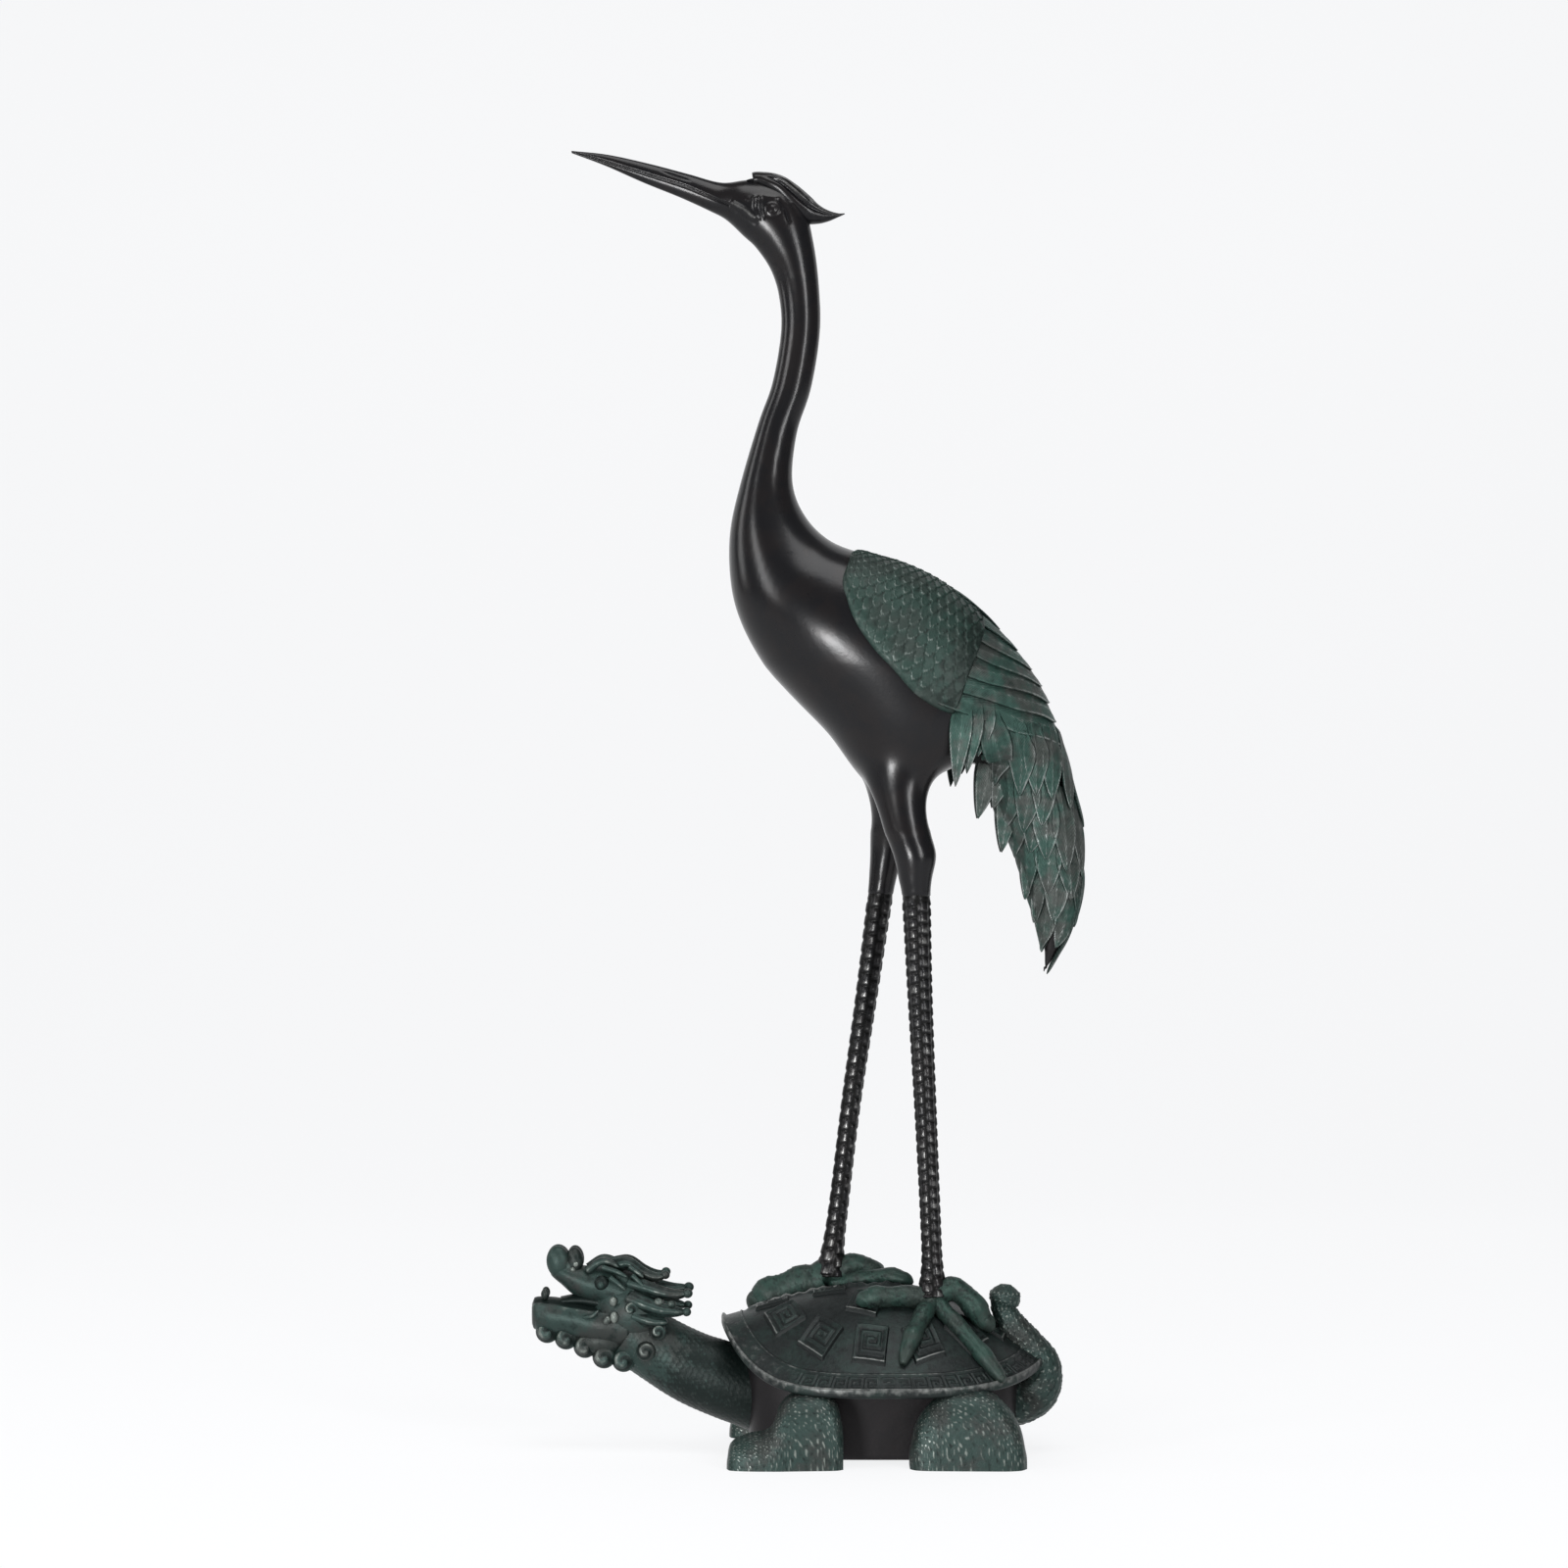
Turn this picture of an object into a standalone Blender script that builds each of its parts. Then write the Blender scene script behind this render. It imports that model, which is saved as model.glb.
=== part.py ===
"""Bronze garden statue: a crane standing on the back of a dragon-headed turtle.

Metres, +Z up. The figures face -X, and the origin is the middle of the turtle's flat underside.
Two castings: the crane, and the turtle, whose shell the crane's toes are fitted to.
"""

import math

import bpy
import numpy as np

# Driving dimensions
CRANE_HEIGHT = 0.928  # bill tip above the middle of the turtle's shell
SEAT_GAP = 0.0003  # between the crane's toes and the shell under them
SHELL_LENGTH = 0.262
SHELL_WIDTH = 0.210
SHELL_TOP = 0.134  # middle of the shell above the ground
SQUARENESS = 2.3  # of the shell's outline: 2 is an ellipse
RIM_SIDE = 0.061  # shell's edge above the ground, at the sides
RIM_FRONT_RISE = 0.0475  # how much higher the edge is in front
RIM_REAR_RISE = 0.0155
RIM_THICKNESS = 0.009
BELLY_LENGTH_SHARE = 0.824  # of the shell's
BELLY_WIDTH_SHARE = 0.524
PLAQUE_SIDE = 0.026
PLAQUE_HEIGHT = 0.0030
LEG_BAND = 0.0165  # pitch of the scutes that ring the legs

# The crane is drawn in millimetres of a bird whose bill tip is 928 mm above a shell 134 mm high, and the
# turtle's head, feet and tail in millimetres of one whose shell is 262 mm long and 210 mm wide, and whose
# shell's edge is 61 mm above the ground. The head follows the shell's length alone; the feet and the tail, which
# join the shell and the belly, follow each size along its own way.
DRAWN_CRANE, DRAWN_SHELL_TOP, DRAWN_SHELL, DRAWN_WIDTH, DRAWN_RIM = 928, 134, 262, 210, 61
CRANE = CRANE_HEIGHT / DRAWN_CRANE
TURTLE = SHELL_LENGTH / DRAWN_SHELL
FEET = np.array([TURTLE, SHELL_WIDTH / DRAWN_WIDTH, RIM_SIDE / DRAWN_RIM])
HIND = np.array([TURTLE, SHELL_WIDTH / DRAWN_WIDTH, SHELL_TOP / DRAWN_SHELL_TOP])

# Trunk from bill tip to tail tip: back x, back z, front x, front z, half width
TRUNK = [
    (-253.6, 1060.6, -253.2, 1058.6, 1.0),
    (-224, 1057.4, -225.6, 1048.2, 3.2),
    (-190, 1050, -194.4, 1034.4, 5.0),
    (-158, 1041.6, -165.2, 1022.6, 6.8),
    (-131, 1034.6, -140.6, 1011.4, 9.6),
    (-108, 1036.6, -127, 1004, 14.6),
    (-82, 1033, -113, 991, 18.4),
    (-64.5, 1017, -102.5, 981, 18.4),
    (-56, 986, -90.6, 963, 17),
    (-51.2, 948, -84, 940.8, 15.6),
    (-50.8, 910, -82.6, 912, 15),
    (-58, 866, -89.6, 871, 15.4),
    (-69.4, 830, -100.8, 839, 16.4),
    (-73, 790, -115.6, 789, 22.5),
    (-62.5, 762, -124.2, 748, 31),
    (-42, 742, -123.2, 706, 41),
    (-13, 731, -114, 673, 50),
    (19, 722, -94.6, 638.4, 57),
    (51, 706, -71, 610.4, 60),
    (82, 680.5, -44, 583.2, 60),
    (109, 651, -20, 550, 56),
    (128.5, 622, 8, 538, 50),
    (139.5, 594, 46, 552, 43),
    (146, 570, 76, 563, 35),
    (152.5, 540, 88, 547, 28),
    (159.5, 508, 98, 517, 23),
    (161.5, 478, 112, 486, 18),
    (158.5, 448, 123, 452, 13),
    (151, 422, 130, 425, 8.5),
    (141, 404, 132.5, 405, 4.5),
    (132.4, 389, 131.2, 389, 1.0),
]
TRUNK_SIDES = 12

# Crest swept back from the brow: x, y, z, radius
CREST = [
    (-105, 0, 1036, 6.4),
    (-94, 0, 1034.5, 8.6),
    (-78, 0, 1023, 11.5),
    (-61, 0, 1009.5, 11.0),
    (-52, 0, 1008.4, 7.6),
    (-44, 0, 1007.2, 4.8),
    (-31, 0, 1009.2, 0.6),
]

# Folded wings, in trunk stations and in degrees round the trunk from the middle of the back
WING_START, WING_RIDGE_END, WING_REAR = 15.7, 19.0, 21.0
WING_RIDGE_ANGLE, WING_LOW_ANGLE, WING_LOW_REACH = 3.0, 93.0, 0.85
WING_LIFT, WING_DEPTH = 4.5, 8.0
SCALES_ALONG, SCALES_ACROSS, SCALE_HEIGHT = 6, 4, 2.0

# Rows of overlapping feathers, the long ones of the wing first and then those of the tail: how many, root and
# tip of the row's first feather, root and tip of its last, and how far the row's tips stand off the body.
# Places are trunk station and degrees; a tail row runs from the breast side to the middle of the back.
FEATHER_ROWS = [
    (7, (18.1, 16.0), (19.15, 3.0), (20.9, 84.0), (22.9, 6.0), 2.4),
    (5, (21.5, 90.0), (23.9, 148.0), (22.6, 6.0), (25.0, 10.0), 4.8),
    (4, (23.4, 138.0), (25.7, 160.0), (24.2, 6.0), (26.2, 9.0), 3.6),
    (3, (25.0, 150.0), (26.9, 165.0), (25.4, 8.0), (27.4, 10.0), 3.0),
    (2, (26.3, 150.0), (28.2, 162.0), (26.6, 10.0), (28.9, 12.0), 2.2),
]
ROW_DEPTH = 5.0  # how far a row's plate reaches into the body
QUILL_RISE, SEAM_DEPTH, SEAM_NOTCH = 1.5, 0.7, 0.16

# Feathers that hang free: root, middle and tip, and half width. First those on the flank, then the fringe
# along the tail's front edge.
FREE_FEATHERS = [
    ((64, -50, 618), (59, -53, 580), (57, -50, 542), 9.5),
    ((74, -47, 616), (70, -50, 584), (66, -48, 552), 8.5),
    ((83, -42, 612), (80, -45, 588), (77, -42, 570), 7.5),
    ((88, -20, 585), (83, -17, 546), (78, -14, 515), 9.0),
    ((100, -17, 556), (101, -15, 518), (98, -12, 487), 8.0),
    ((114, -14, 530), (115, -13, 504), (112, -10, 480), 6.5),
    ((122, -12, 506), (119, -10, 476), (116.5, -7, 448), 6.5),
    ((128, -9, 480), (126, -7, 454), (123.5, -5, 429), 5.0),
    ((134, -7, 456), (131.5, -5, 430), (130, -3, 406), 4.2),
]

# Legs from hip to ankle: x, y, z, half depth, half width. The near one is at -Y.
NEAR_LEG = [
    (36, -12, 636, 14, 12),
    (25, -18, 605, 27, 24),
    (15, -24, 572, 34, 28),
    (13, -28, 548, 29.5, 25),
    (14.5, -31, 526, 22.5, 20.5),
    (19.5, -33, 506, 19, 17.5),
    (25.7, -34, 486, 17.4, 15.6),
    (26.2, -34, 466, 13.4, 13),
    (27.2, -34, 447, 11.4, 11),
    (30, -34, 372, 9.9, 9.9),
    (34.4, -34, 280, 8.8, 8.8),
    (38.3, -34, 194.9, 8.2, 8.2),
    (39.8, -34, 156, 8.6, 8.6),
    (40.2, -35, 130, 12.5, 12.5),
]
FAR_LEG = [
    (34, 12, 636, 14, 12),
    (23, 18, 605, 27, 24),
    (12, 23, 572, 31, 28),
    (10.5, 27, 545, 27, 25),
    (9.5, 31, 520, 19, 19),
    (6, 33, 496, 15, 15.5),
    (2.6, 33, 474, 12.2, 12.6),
    (-1.4, 33, 447, 10.4, 10.4),
    (-11.4, 33, 374, 9.0, 9.0),
    (-24.8, 33, 281, 8.0, 8.0),
    (-34.6, 33, 200, 8.0, 8.0),
    (-39.6, 33, 162, 9.2, 9.2),
    (-42.5, 32, 139, 13.5, 13.5),
]
LEG_SIDES, THIGH_RINGS = 6, 8
BANDS_FROM = 447  # height at which the ringed shank starts
BAND_LOW, BAND_HIGH = 0.97, 1.06  # width at a scute's top and at its lower edge

# Toes: bearing in degrees from -X towards -Y, reach from the ankle, radius, claw length, arch, and depth as a
# share of the width
NEAR_TOES = [
    (6, 54, 9.5, 6, 0, 1.0),
    (64, 46, 8.0, 12, 0, 1.0),
    (140, 60, 7.5, 13, 0, 1.0),
    (182, 40, 10.5, 8, 14, 1.0),
]
FAR_TOES = [
    (-6, 57, 12.0, 5, 5, 1.3),
    (-75, 50, 8.0, 12, 0, 1.0),
    (158, 64, 8.0, 8, 1, 1.0),
    (186, 42, 11.0, 6, 15, 1.0),
]
KNUCKLES, KNUCKLE_SWELL = 2.0, 0.12
CLAW_CLEAR = 1.0  # how far the tips of the claws stay above the shell's plates

# Rings of square plates round the shell: share of the way out to its edge, and how many
PLAQUE_RINGS = [(0.685, 13), (0.33, 5)]

# Turtle's feet: x, height, half width across, and the shoulder that joins each to the belly
FORE_FOOT = [
    (-125, 6, 14),
    (-122, 19, 22),
    (-108, 26, 26),
    (-92, 30, 27),
    (-84, 44, 27),
    (-74, 56, 26),
    (-50, 58, 24),
    (-38, 50, 22),
    (-34, 34, 18),
]
HIND_FOOT = [
    (21, 14, 15),
    (25, 34, 21),
    (36, 50, 24),
    (52, 59, 25),
    (82, 60, 26),
    (98, 48, 26),
    (108, 32, 22),
    (112, 12, 14),
]
FOOT_SHARE = 0.829  # place of a foot's middle, of the shell's half width
SHOULDER_SIZE = (24, 34, 22)
SHOULDER_AT = (-62, 68)
SHOULDER_Y_SHARE, SHOULDER_Z = 0.60, 36

# Turtle's neck: x, y, z, half width, half height; and tail: x, y, z, radius
NECK = [
    (-96, 0, 44, 29, 30),
    (-128, 0, 57, 30, 31),
    (-155, 0, 67.5, 28, 29.5),
    (-182, 0, 82.5, 25.5, 27.5),
    (-206, 0, 98, 24, 26.5),
]
TAIL = [
    (92, 0, 44, 20),
    (110, -2, 41.5, 20.5),
    (125.5, -5, 51, 19.5),
    (129, -8, 70, 16.5),
    (118.5, -10, 87, 14),
    (106, -11, 102, 12.5),
    (99, -11, 116, 10),
    (99.5, -11, 123, 12),
    (100, -11, 130, 12),
    (101, -11, 136, 6),
]

# Dragon's jaws: x, y, z, radius
UPPER_JAW = [(-206, 0, 127, 20), (-228, 0, 134, 18), (-246, 0, 141, 15), (-260, 0, 149, 13), (-271, 0, 153, 8)]
LOWER_JAW = [(-208, 0, 103, 22), (-232, 0, 106, 21), (-252, 0, 109, 19), (-270, 0, 112, 17), (-283, 0, 115, 14)]
SKULL = ((-209, 0, 118), (31, 24, 31))
CHIN = ((-227, 0, 88), (25, 20, 15))
# Round forms on the head's near side: middle and radii. Nose, bridge, fang, brow, cheek, and beard curls.
BOSSES = [
    ((-264.5, -6.3, 157.5), (8.5, 7.5, 9)),
    ((-249, -7, 157), (6.5, 5.5, 8.5)),
    ((-274, -7.7, 129), (3.2, 3, 8)),
    ((-226, -12, 145), (13, 7, 9)),
    ((-213, -18.9, 131), (7, 6, 6.5)),
    ((-273, -8, 98), (9.5, 9, 9.5)),
    ((-257.5, -11, 93), (9.5, 9, 9.5)),
    ((-242, -14, 86), (9.5, 9, 9.5)),
    ((-226.5, -15, 77), (9.5, 9, 10)),
    ((-210.5, -19, 74), (9.5, 9, 9.5)),
]
# Mane locks: root, middle and tip of each, then root radius
LOCKS = [
    ((-208, -12, 137), (-190, -16, 141), (-172, -19, 139), 7.5),
    ((-202, -18, 127), (-180, -24, 131), (-157, -25, 129), 7.5),
    ((-198, -20, 114), (-178, -27, 115), (-157, -28, 115), 7.5),
    ((-200, -19, 103), (-184, -27, 101), (-170, -29, 105), 7.0),
    ((-222, -8, 144), (-208, -9, 146), (-192, -10, 140), 7.0),
]


def spline(rows, at):
    """Rows of numbers joined by a smooth curve through every row, read at fractional row numbers."""
    rows = np.asarray(rows, float)
    at = np.clip(np.atleast_1d(np.asarray(at, float)), 0, len(rows) - 1)
    low = np.minimum(at.astype(int), len(rows) - 2)
    s = (at - low)[:, None]
    padded = np.vstack([2 * rows[0] - rows[1], rows, 2 * rows[-1] - rows[-2]])
    p0, p1, p2, p3 = (padded[low + k] for k in range(4))
    return p1 + 0.5 * s * (p2 - p0 + s * (2 * p0 - 5 * p1 + 4 * p2 - p3 + s * (3 * (p1 - p2) + p3 - p0)))


def unit(vectors):
    return vectors / np.maximum(np.linalg.norm(vectors, axis=-1, keepdims=True), 1e-12)


def loft(rings):
    """Closed skin over rings of equal point count, each end closed by one face."""
    rings = np.asarray(rings, float)
    n, m = rings.shape[:2]
    faces = [
        (i * m + j, i * m + (j + 1) % m, (i + 1) * m + (j + 1) % m, (i + 1) * m + j)
        for i in range(n - 1)
        for j in range(m)
    ]
    faces.append(tuple(range(m))[::-1])
    faces.append(tuple((n - 1) * m + j for j in range(m)))
    return rings.reshape(-1, 3), faces


def split(shell):
    """The same shell in triangles, for two copies that must keep their distance."""
    points, faces = shell
    return points, [(face[0], b, c) for face in faces for b, c in zip(face[1:], face[2:])]


def pad(outer, inner):
    """Closed plate between two grids of the same size."""
    n, m = outer.shape[:2]
    points = np.vstack([outer.reshape(-1, 3), inner.reshape(-1, 3)])
    faces = []
    for i in range(n - 1):
        for j in range(m - 1):
            a = i * m + j
            faces.append((a, a + 1, a + m + 1, a + m))
            faces.append(tuple(n * m + k for k in (a, a + m, a + m + 1, a + 1)))
    edge = [j for j in range(m)]
    edge += [i * m + m - 1 for i in range(1, n)]
    edge += [(n - 1) * m + j for j in range(m - 2, -1, -1)]
    edge += [i * m for i in range(n - 2, 0, -1)]
    for a, b in zip(edge, edge[1:] + edge[:1]):
        faces.append((b, a, n * m + a, n * m + b))
    return points, faces


def ellipses(centres, firsts, seconds, sides):
    """Rings of points: centre + first x cosine + second x sine."""
    turn = np.arange(sides) * 2 * math.pi / sides
    return (
        centres[:, None]
        + firsts[:, None] * np.cos(turn)[None, :, None]
        + seconds[:, None] * np.sin(turn)[None, :, None]
    )


def tube(path, radii, sides, flat=1.0, up=(0, 0, 1)):
    """Round bar along a path, with a radius at each of its points; flat squeezes it along up."""
    path = np.asarray(path, float)
    radii = np.asarray(radii, float)[:, None]
    along = unit(np.gradient(path, axis=0))
    side = unit(np.cross(along, np.asarray(up, float)))
    top = np.cross(side, along)
    return loft(ellipses(path, top * radii * flat, side * radii, sides))


def ball(centre, radii, sides=6, rings=4):
    """Ellipsoid, with small flat ends on its Z axis."""
    centre, radii = np.asarray(centre, float), np.asarray(radii, float)
    tilt = np.linspace(0.12, math.pi - 0.12, rings)
    turn = np.arange(sides) * 2 * math.pi / sides
    rim = np.column_stack([np.cos(turn), np.sin(turn), turn * 0])
    return loft([centre + radii * (math.sin(t) * rim + [0, 0, math.cos(t)]) for t in tilt])


def mirrored(shell):
    """The same shell on the other side of the plane Y = 0."""
    points, faces = shell
    return points * np.array([1, -1, 1]), [face[::-1] for face in faces]


def volume(points, faces):
    total = 0.0
    for face in faces:
        a = points[face[0]]
        for b, c in zip(face[1:], face[2:]):
            total += float(np.dot(a, np.cross(points[b], points[c])))
    return total


def trunk_point(station, angle, lift=0.0):
    """Points on the trunk's near side: angle in degrees from the back round to the front."""
    station, angle = np.broadcast_arrays(np.asarray(station, float), np.asarray(angle, float))
    shape = station.shape

    def skin(s, a):
        row = spline(TRUNK, s.ravel())
        back, front = row[:, :2], row[:, 2:4]
        turn = np.radians(a.ravel())[:, None]
        plane = (back + front) / 2 + (back - front) / 2 * np.cos(turn)
        return np.column_stack([plane[:, 0], -row[:, 4] * np.sin(turn[:, 0]), plane[:, 1]])

    here = skin(station, angle)
    along = skin(station + 0.05, angle) - skin(station - 0.05, angle)
    round_ = skin(station, angle + 2) - skin(station, angle - 2)
    out = unit(np.cross(along, round_))
    middle = skin(station, angle * 0)[:, :] * 0.5 + skin(station, angle * 0 + 180) * 0.5
    out *= np.sign(np.sum(out * (here - middle), axis=1, keepdims=True))
    lifted = here + out * np.broadcast_to(np.asarray(lift, float), shape).ravel()[:, None]
    return lifted.reshape(*shape, 3), out.reshape(*shape, 3)


def feather(root, middle, tip, half_width, quill=2.6, sink=4.5):
    """Free blade with a raised quill: a diamond section along a curve, broad and then rounded to its tip."""
    share = np.array([[0.0], [0.5], [0.88], [1.0]])
    path = spline([root, middle, tip], 2 * share[:, 0])
    out = unit(np.array([-0.15, -1.0, 0.1]))
    width = half_width * np.minimum(1, 0.75 + 0.5 * share) * np.sqrt(1 - share**7 * 0.975)
    body = np.sqrt(1 - share**9 * 0.95)
    side = unit(np.cross(unit(np.gradient(path, axis=0)), out))
    rings = [
        path + out * quill * body,
        path + side * width + out * 0.5 * body,
        path - out * sink * body,
        path - side * width - out * 0.9 * body,
    ]
    return loft(np.stack(rings, axis=1))


def feather_row(count, first_root, first_tip, last_root, last_tip, lift):
    """Plate on the trunk's near side with a quill down each feather, a seam between them and pointed tips."""
    across = np.linspace(0, 1, 2 * count + 1)
    seam = (np.arange(2 * count + 1) % 2 == 0) * 1.0
    s, c = np.meshgrid([0, 0.8, 1.0], across, indexing="ij")
    root = np.array(first_root) + (np.array(last_root) - first_root) * c[..., None]
    tip = np.array(first_tip) + (np.array(last_tip) - first_tip) * c[..., None]
    place = root + (tip - root) * (s * (1 - SEAM_NOTCH * seam * (s == 1)))[..., None]
    quill = (1 - seam) * QUILL_RISE - seam * SEAM_DEPTH
    stand = lift * np.maximum(s, 0.3) + quill * np.where(s == 1, 0.5, 1)
    outer, _ = trunk_point(place[..., 0], place[..., 1], stand)
    inner, _ = trunk_point(place[..., 0], place[..., 1], -ROW_DEPTH)
    return pad(outer, inner)


def trunk():
    """Bill, head, neck, breast and tail core in one skin."""
    row = np.array(TRUNK, float)
    back = np.column_stack([row[:, 0], row[:, 0] * 0, row[:, 1]])
    front = np.column_stack([row[:, 2], row[:, 0] * 0, row[:, 3]])
    side = np.column_stack([row[:, 4] * 0, -row[:, 4], row[:, 4] * 0])
    return loft(ellipses((back + front) / 2, (back - front) / 2, side, TRUNK_SIDES))


def crest():
    rows = np.array(CREST)
    return tube(rows[:, :3], rows[:, 3], 7)


def wing_cover():
    """Scaled upper wing: a raised pad on the trunk whose free edges are round, with rows of diamond scales."""
    rows, columns = 2 * SCALES_ALONG + 1, 2 * SCALES_ACROSS + 1
    u, w = np.meshgrid(np.linspace(0, 1, rows), np.linspace(0, 1, columns), indexing="ij")
    low_station = WING_START + 0.3 + (WING_REAR - WING_START - 0.3) * u
    low_angle = WING_LOW_ANGLE * (1 - np.exp(-(low_station - WING_START + 0.25) / WING_LOW_REACH))
    ridge_station = WING_START + (WING_RIDGE_END - WING_START) * u
    station = ridge_station + (low_station - ridge_station) * w
    angle = WING_RIDGE_ANGLE + (low_angle - WING_RIDGE_ANGLE) * w
    edge = np.minimum(1, np.minimum(6 * (1 - w), 7 * u) + 0.12)
    peak = (np.add.outer(np.arange(rows), np.arange(columns)) % 2 == 0) & (np.arange(rows)[:, None] % 2 == 0)
    lift = WING_LIFT * np.sqrt(edge) * (0.35 + 0.65 * np.minimum(1, 3 * w))
    lift += SCALE_HEIGHT * (peak - 0.5) * (edge >= 1)
    outer, _ = trunk_point(station, angle, lift)
    inner, _ = trunk_point(station, angle, -WING_DEPTH)
    return pad(outer, inner)


def leg(stations):
    """Smooth thigh above, and below it a shank ringed by overlapping scutes."""
    rows = spline(stations, np.linspace(0, len(stations) - 1, 12 * len(stations)))
    height = rows[:, 2]
    smooth = np.linspace(height[0], BANDS_FROM, THIGH_RINGS)
    bands = np.arange(BANDS_FROM, height[-1] + LEG_BAND / CRANE, -LEG_BAND / CRANE)
    step = LEG_BAND / CRANE * 0.05
    scutes = np.column_stack([bands[:-1] - step, bands[1:] + step]).ravel()
    z = np.concatenate([smooth, scutes, [height[-1]]])
    grow = np.concatenate([np.ones(THIGH_RINGS), np.tile([BAND_HIGH, BAND_LOW], len(bands) - 1), [1.0]])
    at = [np.interp(-z, -height, rows[:, k]) for k in (0, 1, 3, 4)]
    centre = np.column_stack([at[0], at[1], z])
    deep = np.column_stack([at[2] * grow, z * 0, z * 0])
    wide = np.column_stack([z * 0, -at[3] * grow, z * 0])
    return loft(ellipses(centre, deep, wide, LEG_SIDES))


def rim_height(cosine):
    """Height of the shell's edge, by how far forward the point on it lies."""
    forward = np.maximum(-cosine, 0) ** 5 * RIM_FRONT_RISE
    return RIM_SIDE + forward + np.maximum(cosine, 0) ** 4 * RIM_REAR_RISE


def shell_height(x, y):
    """Height of the shell's top over a place in plan, in metres."""
    long, wide = np.abs(x) / (SHELL_LENGTH / 2), np.abs(y) / (SHELL_WIDTH / 2)
    share = np.clip((long**SQUARENESS + wide**SQUARENESS) ** (1 / SQUARENESS), 1e-6, 1)
    edge = rim_height(np.clip(x / (SHELL_LENGTH / 2) / share, -1, 1))
    return edge + (SHELL_TOP - edge) * (1 - share**2) ** 1.2


def toe(ankle, bearing, reach, radius, claw, arch, depth):
    """Jointed toe that follows the shell from the ankle, with a claw at its end."""
    turn = math.radians(bearing)
    way = np.array([-math.cos(turn), -math.sin(turn)])
    share = np.concatenate([np.linspace(0, 1, 5), [1 + 0.4 * claw / reach, 1 + claw / reach]])
    knuckle = 1 + KNUCKLE_SWELL * np.cos(share * KNUCKLES * 2 * math.pi)
    r = radius * knuckle * (1 - 0.15 * share)
    r[-2:] = [radius * 0.45, radius * 0.08]
    plan = np.array(ankle[:2]) + way * (share * reach)[:, None]
    top = (shell_height(plan[:, 0] * CRANE, plan[:, 1] * CRANE) - SHELL_TOP) / CRANE + DRAWN_SHELL_TOP
    rise = np.maximum(0, 1 - share / 0.28) ** 2 * 6
    z = top + r * 0.75 * depth + rise + arch * np.sin(np.clip(share, 0, 1) * math.pi)
    z[-1] = top[-1] + PLAQUE_HEIGHT / CRANE + CLAW_CLEAR
    return tube(np.column_stack([plan, z]), r, 6, flat=depth)


def shell(grow=0.0):
    """Domed shell with a flaring, boat-shaped rim; grow raises its top."""
    turn = np.arange(20) * 2 * math.pi / 20
    power = 2 / SQUARENESS
    c = np.sign(np.cos(turn)) * np.abs(np.cos(turn)) ** power
    s = np.sign(np.sin(turn)) * np.abs(np.sin(turn)) ** power
    rings = []
    for share in (0.2, 0.5, 0.78):
        x, y = SHELL_LENGTH / 2 * share * c, SHELL_WIDTH / 2 * share * s
        rings.append(np.column_stack([x, y, shell_height(x, y) + grow]))
    x, y = SHELL_LENGTH / 2 * c, SHELL_WIDTH / 2 * s
    for inset, drop in ((0.985, 0.0), (1.0, RIM_THICKNESS * 0.45), (0.985, RIM_THICKNESS)):
        rings.append(np.column_stack([x * inset, y * inset, rim_height(c) + RIM_THICKNESS * 0.4 - drop + grow]))
    inset = 0.75
    rise = rim_height(c) - RIM_SIDE + RIM_THICKNESS * 0.7
    low = rim_height(c) - RIM_THICKNESS * 0.6 - rise * (1 - inset) * 0.5
    rings.append(np.column_stack([x * inset, y * inset, low]))
    return split(loft(rings))


def plaque(share, turn, side, grow=0.0):
    """Raised square plate on the shell with a sunk field inside its border."""
    middle = np.array([SHELL_LENGTH / 2 * share * math.cos(turn), SHELL_WIDTH / 2 * share * math.sin(turn)])
    radial = unit(np.array([math.cos(turn) * SHELL_LENGTH, math.sin(turn) * SHELL_WIDTH]))
    across = np.array([-radial[1], radial[0]])
    rings = []
    steps = (
        (0.50, -2 * PLAQUE_HEIGHT),
        (0.48, PLAQUE_HEIGHT),
        (0.37, PLAQUE_HEIGHT),
        (0.32, PLAQUE_HEIGHT * 0.35),
    )
    if grow:
        steps = steps[:3]
    for half, height in steps:
        corners = []
        for a, b in ((-1, -1), (1, -1), (1, 1), (-1, 1)):
            reach = half * side + grow
            at = middle + radial * a * reach + across * b * reach
            corners.append((at[0], at[1], float(shell_height(at[0], at[1])) + height + grow))
        rings.append(corners)
    return split(loft(rings))


def plaques(grow=0.0):
    found = []
    for share, count in PLAQUE_RINGS:
        for k in range(count):
            found.append(plaque(share, (k + 0.5) * 2 * math.pi / count, PLAQUE_SIDE, grow))
    return found


def belly():
    """Smooth block under the shell, flat below."""
    turn = np.arange(12) * 2 * math.pi / 12
    c = np.sign(np.cos(turn)) * np.abs(np.cos(turn)) ** 0.6
    s = np.sign(np.sin(turn)) * np.abs(np.sin(turn)) ** 0.6
    x = c * SHELL_LENGTH * BELLY_LENGTH_SHARE / 2
    y = s * SHELL_WIDTH * BELLY_WIDTH_SHARE / 2
    rings = []
    for height, grow in ((0.0, 1.0), (RIM_SIDE / 2, 1.0), (RIM_SIDE + RIM_THICKNESS, 1.03)):
        rings.append(np.column_stack([x * grow, y * grow, turn * 0 + height]))
    return loft(rings)


def paw(stations, middle):
    """Foot with a flat sole: a D-shaped section, flat side down, along X."""
    turn = np.linspace(0, math.pi, 6)
    rings = []
    for x, height, half in stations:
        y, z = middle + half * np.cos(turn), height * np.sin(turn) ** 0.55
        rings.append(np.column_stack([turn * 0 + x, y, z]))
    return loft(rings)


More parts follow.
